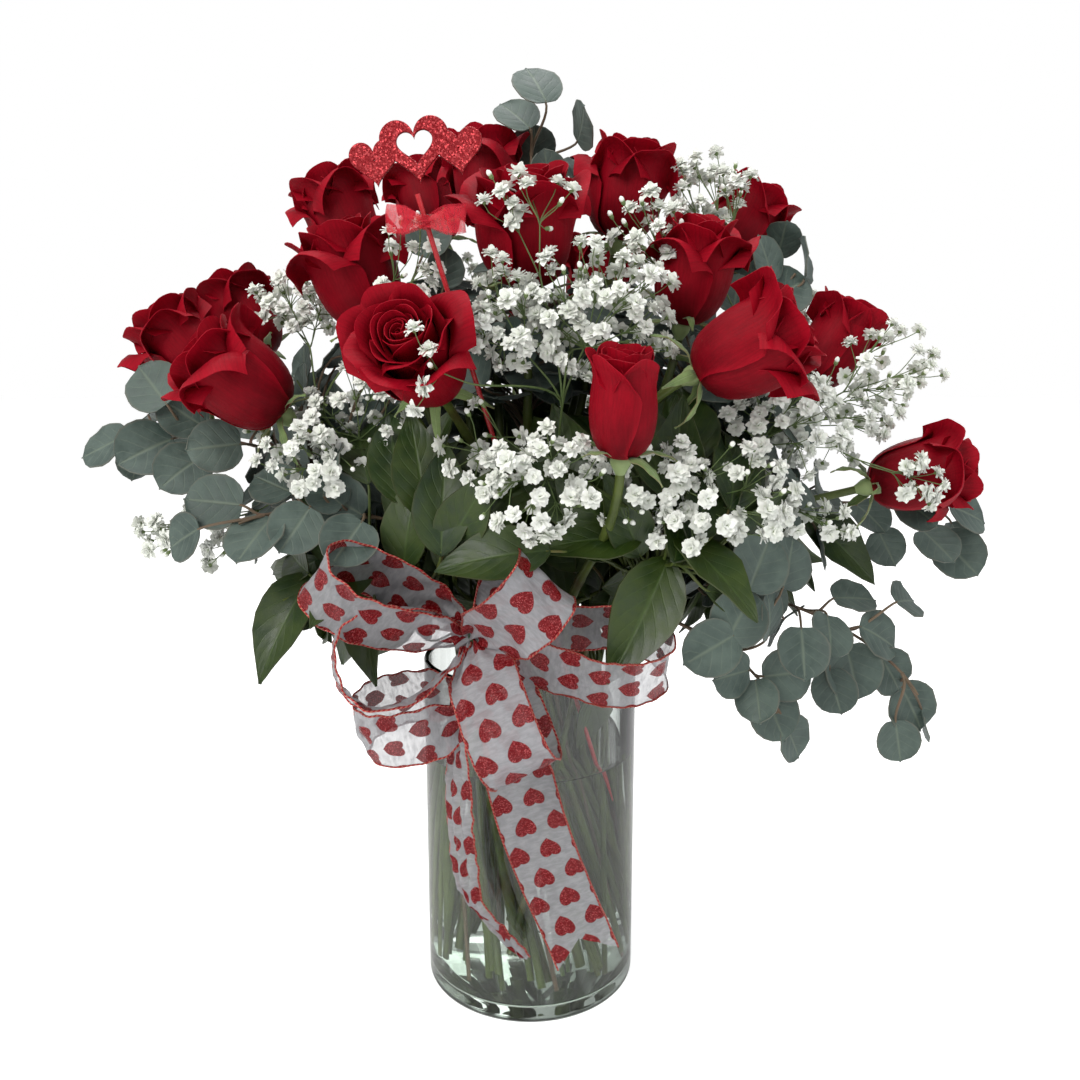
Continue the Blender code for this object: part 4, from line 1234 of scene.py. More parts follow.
class Wardrobe:
    """Every finish, made into materials once."""

    def __init__(self) -> None:
        """Builds the shared effects and the materials."""
        effects = Effects()
        finishes: list[Any] = [
            PetalFinish("rose_petal_velvet", "rose_petal"),
            StemFinish("rose_stem_green", "rose_stem"),
            LeafFinish("sepal_green", "rose_stem", light=(0.22, 0.30, 0.10), dark=(0.075, 0.14, 0.035),
                       vein=(0.28, 0.36, 0.15), edge=(0.22, 0.16, 0.08), pairs=0.0, side_strength=0.0),
            LeafFinish("eucalyptus_leaf", "eucalyptus"),
            StemFinish("eucalyptus_twig", "eucalyptus", light=(0.17, 0.12, 0.075),
                       dark=(0.075, 0.055, 0.035), blush=(0.18, 0.075, 0.05), roughness=0.6),
            StemFinish("eucalyptus_stem", "eucalyptus"),
            LeafFinish("lemon_leaf", "lemon_leaf", light=(0.034, 0.060, 0.004),
                       dark=(0.003, 0.021, 0.003), vein=(0.05, 0.09, 0.015), edge=(0.04, 0.05, 0.01),
                       pairs=7.0, side_strength=0.4, gloss=(0.40, 0.52), sheen=0.0, coat=0.04),
            StemFinish("lemon_leaf_twig", "lemon_leaf", blush=(0.20, 0.07, 0.04)),
            BlossomFinish("blossom_white", "babys_breath"),
            StemFinish("breath_twig", "babys_breath", light=(0.16, 0.22, 0.08), dark=(0.07, 0.12, 0.035),
                       blush=(0.12, 0.15, 0.06)),
            SheerFinish("bow_organza", "ribbon"),
            WireFinish("ribbon_edge_wire", "ribbon"),
            SheerFinish("pick_organza", "sheer_ribbon", thread=(0.62, 0.02, 0.04),
                        cover=(0.45, 0.75), hearts=False),
            WireFinish("bow_wire_green", "bow_wire", first=(0.03, 0.09, 0.03),
                       second=(0.05, 0.13, 0.05), metal=0.1),
            GlitterFinish("pick_glitter", "glitter"),
            PlasticFinish("pick_stick_red", "red_plastic"),
            ClearFinish("vase_glass", "vase_glass"),
            ClearFinish("vase_water", "water", ior=1.333, body=(0.860, 0.905, 0.855),
                        painted_grazing_tint=(0.90, 0.94, 0.91), shadow=(0.97, 0.98, 0.97), ripple=0.0008),
        ]
        self.materials: dict[str, Material] = {f.name: f.material(effects) for f in finishes}
        self.slots: dict[str, str] = {f.name: f.slot for f in finishes}

    def __getitem__(self, name: str) -> Material:
        """The material with this name."""
        return self.materials[name]

    def place(
        self, draft: Draft, name: str, finishes: Sequence[str], node: str, crease: float = 50.0
    ) -> bpy.types.Object:
        """Makes a piece of the vase of roses from a draft, hangs it on the root body and hides the solid that it
        stands for.

        Args:
            draft: Its mesh.
            name: Its name.
            finishes: Its finishes, the main one first.
            node: The solid that it stands for.
            crease: Edges sharper than this many degrees stay sharp.

        Returns:
            The piece.
        """
        made = draft.build(name, [self[finish] for finish in finishes], crease)
        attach(made, "root")
        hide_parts(node)
        LOG.info("%s: %d faces", name, len(made.data.polygons))
        return made


# ---- The glass and the water
def arc(
    centre: tuple[float, float], radius: float, start: float, end: float, steps: int
) -> list[tuple[float, float]]:
    """Points on an arc, as (radius, height) pairs; the angles are in degrees."""
    turns = np.radians(np.linspace(start, end, steps + 1))
    return [(centre[0] + radius * cos(a), centre[1] + radius * sin(a)) for a in turns]


@dataclass
class Vase:
    """A straight cylinder of glass with a thick floor, and the water in it."""

    steps: int = 160
    inner_rounding: float = 0.003
    meniscus: float = 0.0016
    climb: float = 0.0012
    overlap: float = 0.00012

    def glass(self) -> Draft:
        """The glass, turned from its section."""
        outer, lip = VASE_DIAMETER / 2, GLASS_WALL / 2
        profile = [(0.0, 0.0012), (outer * 0.70, 0.0012), (outer * 0.78, 0.0)]
        profile += arc((outer - HEEL_ROUNDING, HEEL_ROUNDING), HEEL_ROUNDING, -90, 0, 8)
        profile += arc((outer - lip, VASE_HEIGHT - lip), lip, 0, 180, 10)
        profile += arc((INNER_RADIUS - self.inner_rounding, GLASS_FLOOR + self.inner_rounding),
                       self.inner_rounding, 0, -90, 6)
        profile += [(INNER_RADIUS * 0.5, GLASS_FLOOR), (0.0, GLASS_FLOOR)]
        draft = Draft()
        draft.add_turned(profile, self.steps)
        return draft

    def water(self) -> Draft:
        """The water, which wets the glass all round."""
        edge = INNER_RADIUS + self.overlap
        low, high = GLASS_FLOOR - self.overlap, GLASS_FLOOR + WATER_DEPTH
        profile = [(0.0, low), (INNER_RADIUS - self.inner_rounding, low)]
        centre = (edge - self.inner_rounding, low + self.inner_rounding)
        profile += arc(centre, self.inner_rounding, -90, 0, 6)[1:]
        insets = (0.0, 0.0004, 0.001, 0.002, 0.004, 0.008)
        rims = [(edge - d, high + self.meniscus * exp(-d / self.climb)) for d in insets]
        draft = Draft()
        draft.add_turned(profile + rims + [(INNER_RADIUS * 0.4, high), (0.0, high)], self.steps)
        return draft

    def build(self, wardrobe: Wardrobe) -> None:
        """Makes both pieces."""
        wardrobe.place(self.glass(), "vase_glass_body", ["vase_glass"], "vase", crease=60)
        wardrobe.place(self.water(), "vase_water_body", ["vase_water"], "water", crease=60)


# ---- Roses
@dataclass
class Rose:
    """A rose: petals wound round a tight heart, and a stem with a hip and sepals."""

    number: int
    head: Head
    stand: Stand
    petals: int = 27
    rows: int = 14
    cols: int = 15
    petal_thickness: float = 0.00035
    hip_radius: float = 0.0052
    claw: float = 0.0026

    def __post_init__(self) -> None:
        """Works out where the bloom is."""
        self.draw = np.random.default_rng(100 + self.number)
        self.axis = lean(self.head.tilt, self.head.facing)
        self.radius = self.head.openness * BLOOM_DIAMETER / 2
        self.height = BLOOM_DIAMETER * (0.55 + 0.42 * self.head.openness)
        self.base = head_centre(self.head) - self.axis * self.height / 2
        self.closed = float(np.clip((0.92 - self.head.openness) / 0.14, 0, 1))

    def petal(self, order: float, turn: float) -> tuple[Vec, Vec]:
        """One petal about the bloom's own axis.

        Args:
            order: From 0, the innermost, to 1, the outermost.
            turn: Which way it faces, in radians.

        Returns:
            Its grid of points and their traits.
        """
        draw, open_ = self.draw, 1 - 0.75 * self.closed
        girth = self.radius * (0.13 + 0.78 * order**0.75) * draw.uniform(0.97, 1.03)
        top = self.height * (0.94 + 0.05 * sin(pi * order) + 0.03 * order**3 * open_)
        top *= draw.uniform(0.97, 1.03)
        mouth = 0.60 + 0.36 * order * open_ + 0.10 * self.closed * (1 - order)
        t = np.linspace(0, 1, 60)[:, None]
        knots = np.array([(self.claw, 0.0), (girth * 1.10, -0.04 * top), (girth * 1.10, 0.55 * top),
                          (girth * mouth, top)])
        line = (knots[0] * (1 - t) ** 3 + knots[1] * 3 * t * (1 - t) ** 2
                + knots[2] * 3 * t**2 * (1 - t) + knots[3] * t**3)
        run = lengths_along(line)
        slope = np.arctan2(*np.gradient(line, axis=0).T)
        v = np.linspace(0, 1, self.rows) ** 0.9
        u = np.linspace(-1, 1, self.cols)
        u = np.sign(u) * (1 - (1 - np.abs(u)) ** 1.25)
        angle = np.interp(v * run[-1], run, slope)[:, None]
        curl = (0.12 + 0.35 * order + draw.uniform(0.6, 2.1) * order**3.0 * open_)
        start = 0.86 - 0.16 * order
        side = 1 + 0.35 * draw.uniform(-1, 1) * u
        bend = curl * smooth((v[:, None] - start) / (1 - start)) ** 1.2 * side
        roll = (0.06 + 0.30 * order * open_) * np.abs(u) ** 5 * smooth((v[:, None] - 0.45) / 0.5)
        angle = angle + bend + roll
        drop = 0.13 + 0.10 * order
        reach = 1 - drop * np.abs(u) ** 3.0 + 0.022 * order * np.exp(-((u / 0.30) ** 2))
        step = np.diff(v, prepend=0.0)[:, None] * run[-1] * reach
        radius = self.claw + np.cumsum(np.sin(angle) * step, axis=0)
        height = np.cumsum(np.cos(angle) * step, axis=0)
        middle = radius[:, self.cols // 2]
        half = self.radius * (0.62 + 0.30 * order) * (0.45 + 0.55 * smooth(v / 0.6))
        half = half * (1 - 0.20 * smooth((v - 0.75) / 0.25))
        spread = half / np.maximum(middle, 0.42 * girth)
        around = turn + u * np.minimum(spread, 2.7)[:, None]
        lap = (0.00055 + 0.0011 * order) * np.abs(spread)[:, None] * u
        lift = (0.0002 + 0.0011 * order**1.4 * open_) * smooth((np.abs(u) - 0.70) / 0.30)
        lift = lift * smooth(v[:, None] / 0.5)
        waves = np.sin(u * draw.uniform(4, 7) + draw.uniform(0, 6))
        radius = radius + lap + lift + 0.0007 * (0.3 + order) * waves * v[:, None] ** 2
        waves = np.sin(u * draw.uniform(3, 6) + draw.uniform(0, 6))
        height = height + 0.0008 * (0.3 + order) * waves * v[:, None] ** 2
        grid = np.stack([radius * np.cos(around), radius * np.sin(around), height], axis=-1)
        near = np.maximum(np.abs(u) ** 1.5, smooth((v[:, None] - 0.72) / 0.28))
        return grid, stacked(v[:, None], near, draw.uniform(0, 1))

    def bloom(self) -> Draft:
        """All the petals, placed on the stem."""
        draft = Draft()
        spin = axes(self.axis, vec(0.3, 1.0, 0.2))
        start = self.draw.uniform(0, FULL_TURN)
        for index in range(self.petals):
            order = index / (self.petals - 1)
            turn = start + index * GOLDEN_ANGLE + self.draw.uniform(-0.12, 0.12)
            grid, traits = self.petal(order, turn)
            draft.add_shell(grid @ spin.T + self.base, traits, self.petal_thickness)
        return draft

    def stem(self) -> Draft:
        """The stem with its joints, the hip under the bloom and five sepals."""
        draft = Draft()
        path = self.stand.route(self.base - self.axis * ROSE_NECK, self.axis, 30)
        path = np.concatenate([path, [self.base - self.axis * GAP]])
        run = lengths_along(path)
        fine = np.linspace(0, run[-1], int(run[-1] / 0.004))
        path = resampled(path, run, fine)
        share = fine / fine[-1]
        radii = ROSE_STEM_DIAMETER / 2 * (1.06 - 0.24 * share)
        at = self.draw.uniform(0.02, 0.04)
        while at < fine[-1] - 0.02:
            radii = radii * (1 + 0.20 * np.exp(-(((fine - at) / 0.0035) ** 2)))
            at += self.draw.uniform(0.040, 0.062)
        draft.add_tube(path, radii, 14, 0, self.draw.uniform(0, 1), ends=(1.0, 0.0))
        heights = np.array([-0.0085, -0.0065, -0.0040, -0.0015, 0.0008, 0.0022, 0.0030])
        swell = np.array([0.45, 0.62, 0.90, 1.0, 0.86, 0.70, 0.40]) * self.hip_radius
        draft.add_tube(self.base + self.axis * heights[:, None], swell, 16, 1, 0.5)
        start = self.draw.uniform(0, FULL_TURN)
        for index in range(5):
            self.add_sepal(draft, start + index * FULL_TURN / 5)
        return draft

    def add_sepal(self, draft: Draft, turn: float) -> None:
        """Adds one sepal that leaves the hip and curls outwards and down."""
        draw = self.draw
        size = draw.uniform(0.85, 1.15)
        grid, traits = blade(Outline.LANCE, 0.027 * size, 0.0062, fold=-0.25,
                             droop=draw.uniform(0.4, 1.5), wave=0.10, phase=draw.uniform(0, 6), cols=5)
        traits[..., 2] = draw.uniform(0, 1)
        spin = axes(self.axis, vec(0.3, 1.0, 0.2))
        out = spin @ vec(cos(turn), sin(turn), 0.0)
        rise = draw.uniform(0.15, 0.9) if self.head.openness < 0.95 else draw.uniform(-0.5, 0.5)
        way = unit(out + self.axis * rise)
        place = self.base + self.axis * 0.0008 + out * self.hip_radius * 0.75
        face = unit(np.cross(way, np.cross(self.axis, way)))
        draft.add_shell(grid @ axes(way, face).T + place, traits, 0.0005, 1)

    def build(self, wardrobe: Wardrobe) -> None:
        """Makes both pieces."""
        label = f"{self.number:02d}"
        wardrobe.place(self.bloom(), f"rose_{label}_petals", ["rose_petal_velvet"], f"rose_bloom_{label}")
        wardrobe.place(self.stem(), f"rose_{label}_stem", ["rose_stem_green", "sepal_green"],
                       f"rose_stem_{label}")


# ---- Leaf sprays
def side_stems(path: Vec, stand: Stand, draw: np.random.Generator, count: int) -> list[Vec]:
    """The lines of thinner stems that stand beside a spray's own and join it above the rim.

    Args:
        path: The spray's own line.
        stand: Where it stands.
        draw: What gives the chances.
        count: How many stems to find.

    Returns:
        One line of points for each.
    """
    found: list[Vec] = []
    for _ in range(count * 8):
        ends = []
        for end in (stand.foot, stand.neck):
            bearing = atan2(end[1], end[0]) + draw.uniform(-1.1, 1.1)
            radius = min(hypot(end[0], end[1]) * draw.uniform(0.75, 1.45), INNER_RADIUS - 0.005)
            ends.append(polar(bearing, radius, end[2] + draw.uniform(0.0, 0.008)))
        joint = int(draw.integers(20, 30))
        line = Stand(*ends).route(path[joint], unit(path[joint + 1] - path[joint - 1]), 16)
        if not any(((line > low) & (line < high)).all(axis=1).any() for low, high in OPEN_SPACES):
            found.append(line)
        if len(found) == count:
            break
    return found


@dataclass
class Filling:
    """The leaves that fill the gaps between the blooms and over the rim."""

    count: int = 560
    middle: tuple[float, float, float] = (0.005, 0.012, 0.290)
    radii: tuple[float, float, float] = (0.170, 0.115, 0.140)
    spacing: float = 0.0145
    reach: float = 0.080
    lemon_pull: float = 0.45
    far_away: float = 9.0

    def places(self, paths: dict[str, Vec], spots: Vec, sizes: Vec) -> dict[str, list[tuple[float, ...]]]:
        """Finds a place for each leaf and the spray that carries it.

        Args:
            paths: The line of each spray of leaves.
            spots: The middle of each bloom.
            sizes: The radius of each bloom.

        Returns:
            For each spray its leaves, written as in LEAVES.
        """
        draw = np.random.default_rng(7)
        found: dict[str, list[tuple[float, ...]]] = {name: [] for name in paths}
        lemons = {name for name in paths if name.startswith(Kind.LEMON_LEAF.value)}
        kept = np.full((1, 3), self.far_away)
        for _ in range(self.count * 14):
            way = unit(draw.normal(size=3))
            x, y, z = point = np.array(self.middle) + way * self.radii * draw.uniform(0.25, 1.0) ** 0.5
            across = hypot(x, y)
            in_bow = -0.125 < x < 0.105 and y < -0.058 and z < 0.292
            at_rim = z < 0.243 and 0.040 < across < 0.088
            inner = abs(x) < 0.125 and z < 0.375
            far = {
                n: float(np.linalg.norm(path[NECK_POINT:] - point, axis=1).min())
                for n, path in paths.items()
            }
            name = min(far, key=lambda n: far[n] * (self.lemon_pull if inner and n in lemons else 1.0))
            clear = 0.017 if name in lemons else 0.010
            if (
                z < 0.222 or in_bow or at_rim
                or (np.linalg.norm(spots - point, axis=1) < sizes + clear).any()
                or np.linalg.norm(kept - point, axis=1).min() < self.spacing
                or far[name] > self.reach
            ):
                continue
            kept = np.concatenate([kept, point[None]])
            out = unit(way / self.radii + draw.normal(0, 2.2, 3))
            size, bearing = draw.uniform(0.8, 1.12), degrees(atan2(out[1], out[0]))
            lift = degrees(asin(out[2])) + draw.uniform(-10, 25)
            found[name].append((*(point * 1000), size, bearing, lift))
            if len(kept) > self.count:
                break
        LOG.info("filling leaves: %d", len(kept) - 1)
        return found


@dataclass
class Spray:
    """A stem that ends at its head, and what it carries."""

    name: str
    head: Head
    stand: Stand

    def __post_init__(self) -> None:
        """Works out the stem's line."""
        self.draw = np.random.default_rng(sum(map(ord, self.name)))
        way = lean(self.head.tilt, self.head.bearing)
        self.path = self.stand.route(head_centre(self.head), way, ROUTE_STEPS)


SPRAY_FINISHES = {
    Kind.EUCALYPTUS: ["eucalyptus_leaf", "eucalyptus_twig", "eucalyptus_stem"],
    Kind.LEMON_LEAF: ["lemon_leaf", "lemon_leaf_twig", "lemon_leaf_twig"],
}


@dataclass
class LeafSpray(Spray):
    """A twig with leaves on stalks, each leaf at its own place."""

    kind: Kind
    filling: Sequence[tuple[float, ...]] = ()
    thickness: float = 0.0006
    companions: int = 5

    def add_leaf(self, draft: Draft, middle: Vec, size: float, bearing: float, lift: float) -> None:
        """Adds a leaf and the stalk that carries it.

        Args:
            draft: What it is added to.
            middle: The blade's middle.
            size: The leaf's size over the usual one.
            bearing: The bearing of the way that its face looks, in degrees.
            lift: How far above level its face looks, in degrees.
        """
        draw = self.draw
        lemon = self.kind is Kind.LEMON_LEAF
        length = (LEMON_LEAF_LENGTH if lemon else EUCALYPTUS_LEAF) * size
        width = (LEMON_LEAF_WIDTH if lemon else EUCALYPTUS_LEAF * draw.uniform(0.90, 1.04)) * size
        face = lean(90 - lift, bearing)
        above = self.path[NECK_POINT:]
        nearest = int(np.argmin(np.linalg.norm(above - middle, axis=1)))
        root = above[max(nearest - 3, 0)]
        out = unit(middle - root)
        out = unit(out - face * float(out @ face) * 0.85 + self.draw.normal(0, 0.10, 3))
        start = middle - out * length * 0.5
        grid, traits = blade(
            Outline.OVATE if lemon else Outline.ROUND, length, width,
            fold=draw.uniform(0.10, 0.28) if lemon else draw.uniform(0.0, 0.10),
            cup=draw.uniform(0.02, 0.09),
            droop=draw.uniform(0.1, 0.7) if lemon else draw.uniform(-0.2, 0.45),
            wave=draw.uniform(0.01, 0.03), phase=draw.uniform(0, 6),
            rows=13 if lemon else 11, cols=9 if lemon else 7,
        )
        traits[..., 2] = draw.uniform(0, 1)
        turned = axes(out, face)
        draft.add_shell(grid @ turned.T + start, traits, self.thickness, 0)
        way = unit(above[min(nearest, len(above) - 1)] - root + 1e-6)
        gap = float(np.linalg.norm(start - root))
        stalk = hermite(root, way * gap * 0.8, start + out * length * 0.04, out * gap * 0.9, 9)
        radii = np.linspace(TWIG_DIAMETER * 0.42, TWIG_DIAMETER * 0.26, 10)
        draft.add_tube(stalk, radii, 7, 1, draw.uniform(0, 1))

    def build(self, wardrobe: Wardrobe) -> None:
        """Makes the spray."""
        draft = Draft()
        share = np.linspace(0, 1, len(self.path))
        draft.add_tube(self.path, TWIG_DIAMETER / 2 * (1.1 - 0.5 * share), 9, 1, 0.5, ends=(1.0, 0.0))
        for x, y, z, size, bearing, lift in [*LEAVES[self.name], *self.filling]:
            self.add_leaf(draft, vec(x, y, z) / 1000, size, bearing, lift)
        for line in side_stems(self.path, self.stand, self.draw, self.companions):
            radius = self.draw.uniform(0.0016, 0.0026)
            radii = np.linspace(radius, radius * 0.5, len(line))
            draft.add_tube(line, radii, 9, 2, self.draw.uniform(0, 1), ends=(1.0, 0.0))
        wardrobe.place(draft, f"{self.name}_spray", SPRAY_FINISHES[self.kind], self.name)


# ---- Baby's breath
def blossom(seed: int) -> Draft:
    """A double blossom: four rings of small ruffled petals on a green cup, along +Z."""
    draw = np.random.default_rng(seed)
    draft = Draft()
    for count, tilt, size in ((8, 82, 0.0048), (7, 60, 0.0049), (5, 38, 0.0048), (3, 14, 0.0045)):
        start = draw.uniform(0, 6)
        for index in range(count):
            turn = start + index * FULL_TURN / count + draw.uniform(-0.15, 0.15)
            grid, traits = blade(Outline.ROUND, size * draw.uniform(0.88, 1.10), 0.0036, cup=0.12,
                                 droop=draw.uniform(0.0, 0.9), wave=0.10, phase=draw.uniform(0, 6), rows=4, cols=3)
            way = lean(tilt + draw.uniform(-9, 9), degrees(turn))
            face = unit(np.cross(way, np.cross(vec(0, 0, 1), way)))
            draft.add_lens(grid @ axes(way, face).T, traits, 0.0003)
    return draft.joined()


@dataclass
class BreathSpray(Spray):
    """A thin stem that forks and forks again, with a blossom or a bud on each end."""

    bloom_spots: Vec
    bloom_sizes: Vec
    cluster: int = 6
    companions: int = 6

    def free(self, points: Vec) -> Vec:
        """Which of these points lie outside every bloom."""
        gaps = np.linalg.norm(points[:, None] - self.bloom_spots[None], axis=2)
        return (gaps > self.bloom_sizes[None]).all(axis=1)

    def cloud(self, middle: Vec, radii: Vec, count: int) -> Vec:
        """Blossom places in one cloud, apart from each other and outside the blooms."""
        kept: list[Vec] = []
        for _ in range(count * 30):
            offset = unit(self.draw.normal(size=3)) * self.draw.uniform(0.25, 1.0) ** 0.5
            point = middle + offset * radii
            if self.free(point[None])[0] and all(np.linalg.norm(point - k) > 0.0065 for k in kept):
                kept.append(point)
            if len(kept) == count:
                break
        return np.array(kept).reshape(-1, 3)

    def build(self, wardrobe: Wardrobe, blossoms: Sequence[Draft]) -> None:
        """Makes the spray."""
        draft, draw = Draft(), self.draw
        share = np.linspace(0, 1, len(self.path))
        draft.add_tube(self.path, BREATH_STEM_DIAMETER / 2 * (1.15 - 0.6 * share), 8, 1, 0.5, ends=(1.0, 0.0))
        for line in side_stems(self.path, self.stand, draw, self.companions):
            draft.add_tube(line, np.linspace(0.0011, 0.0007, len(line)), 7, 1, 0.2, ends=(1.0, 0.0))
        above = self.path[14:]
        for *place, count in CLOUDS[self.name]:
            middle, radii = np.array(place[:3]) / 1000, np.array(place[3:]) / 1000
            points = self.cloud(middle, radii, count)
            root = above[max(int(np.argmin(np.linalg.norm(above - middle, axis=1))) - 6, 0)]
            hub = root + (middle - root) * 0.62
            pull = float(np.linalg.norm(hub - root))
            branch = hermite(root, unit(above[-1] - above[0]) * pull, hub, unit(middle - root) * pull * 0.6, 10)
            draft.add_tube(branch, np.linspace(0.00065, 0.00045, 11), 6, 1, 0.4)
            for group in np.array_split(points[np.argsort(np.arctan2(*(points - middle)[:, [0, 2]].T))],
                                        max(len(points) // self.cluster, 1)):
                if len(group):
                    self.add_fork(draft, hub, group, blossoms)
        wardrobe.place(draft, f"{self.name}_spray", ["blossom_white", "breath_twig"], self.name, crease=75)

    def add_fork(self, draft: Draft, hub: Vec, group: Vec, blossoms: Sequence[Draft]) -> None:
        """Adds a twig from the hub that forks to a group of blossoms."""
        draw = self.draw
        fork = hub + (group.mean(axis=0) - hub) * 0.60 + draw.normal(0, 0.0015, 3)
        out = fork - hub
        draft.add_tube(hermite(hub, out * 0.6 + draw.normal(0, 0.004, 3), fork, out * 1.1, 6),
                       np.linspace(0.00042, 0.00032, 7), 5, 1, 0.4)
        for point in group:
            way = unit(unit(point - fork) + vec(0, 0, 0.35) + draw.normal(0, 0.22, 3))
            end = point - way * 0.0022
            pull = float(np.linalg.norm(end - fork))
            twig = hermite(fork, unit(out) * pull * 0.7, end, way * pull * 0.9, 5)
            draft.add_tube(twig, np.linspace(0.00030, 0.00024, 6), 5, 1, 0.6)
            cup = end + way * np.array([0.0, 0.0007, 0.0016, 0.0024])[:, None]
            draft.add_tube(cup, [0.0004, 0.0010, 0.0012, 0.0010], 6, 1, 0.9)
            size = draw.uniform(0.85, 1.18)
            if draw.uniform() < 0.16:
                draft.add_tube(end + way * np.array([0.002, 0.003, 0.0042, 0.005])[:, None],
                               [0.0009, 0.0013, 0.0011, 0.0003], 7, 0, 0.4)
            else:
                turned = axes(way, draw.normal(size=3))
                other = blossoms[int(draw.integers(len(blossoms)))]
                draft.add_copy(other, turned, end + way * 0.0016, size, draw.uniform(0, 1))


# ---- The bow
@dataclass
class Strip:
    """A strip of ribbon along a line, gathered where it is narrow."""

    line: Vec
    widths: Vec
    across: Vec
    seed: int
    crinkle: float = 0.0009
    pleats: float = 3.0
    cols: int = 25
    full: float = RIBBON_WIDTH
    fishtail: float = 0.0

    def grid(self) -> tuple[Vec, Vec]:
        """The strip's points and their flat places."""
        draw = np.random.default_rng(self.seed)
        run = lengths_along(self.line)
        share = np.linspace(-0.5, 0.5, self.cols)
        ways = unit(np.gradient(self.line, axis=0))
        side = unit(self.across - ways * np.sum(self.across * ways, axis=1, keepdims=True))
        normal = np.cross(ways, side)
        grid = self.line[:, None] + side[:, None] * self.widths[:, None, None] * share[None, :, None]
        tight = np.clip(1 - self.widths / self.full, 0, 1)
        fold = 0.34 * self.full / (2 * self.pleats) * tight**0.6
        wave = fold[:, None] * np.cos(share * 2 * pi * self.pleats + draw.uniform(0, 6))
        flat = share * self.full
        for _ in range(7):
            a, b = draw.normal(0, 1, 2) * (260.0, 330.0)
            wave = wave + self.crinkle * 0.34 * np.sin(flat * a + run[:, None] * b + draw.uniform(0, 6))
        roll = np.sin(run[:, None] * 38 + draw.uniform(0, 6))
        curl = 0.06 * self.full * (4 * share**2) * roll * (1 - tight[:, None])
        grid = grid + normal[:, None] * (wave + curl)[..., None]
        spots = stacked(flat, run[:, None])
        if self.fishtail:
            both = np.concatenate([grid, spots], axis=2)
            for column, place in enumerate(share):
                at = run * (1 - self.fishtail * (1 - abs(2 * place)) / run[-1])
                columns = [np.interp(at, run, values) for values in both[:, column].T]
                both[:, column] = np.stack(columns, axis=1)
            grid, spots = both[..., :3], both[..., 3:]
        return grid, spots

    def sheet(self) -> Draft:
        """The cloth."""
        grid, spots = self.grid()
        draft = Draft()
        draft.add_sheet(grid, spots, np.zeros(grid.shape))
        return draft

    def edges(self, radius: float) -> Draft:
        """The wire along each edge."""
        grid, _ = self.grid()
        draft = Draft()
        for column in (0, -1):
            draft.add_tube(grid[:, column], radius, 6)
        return draft


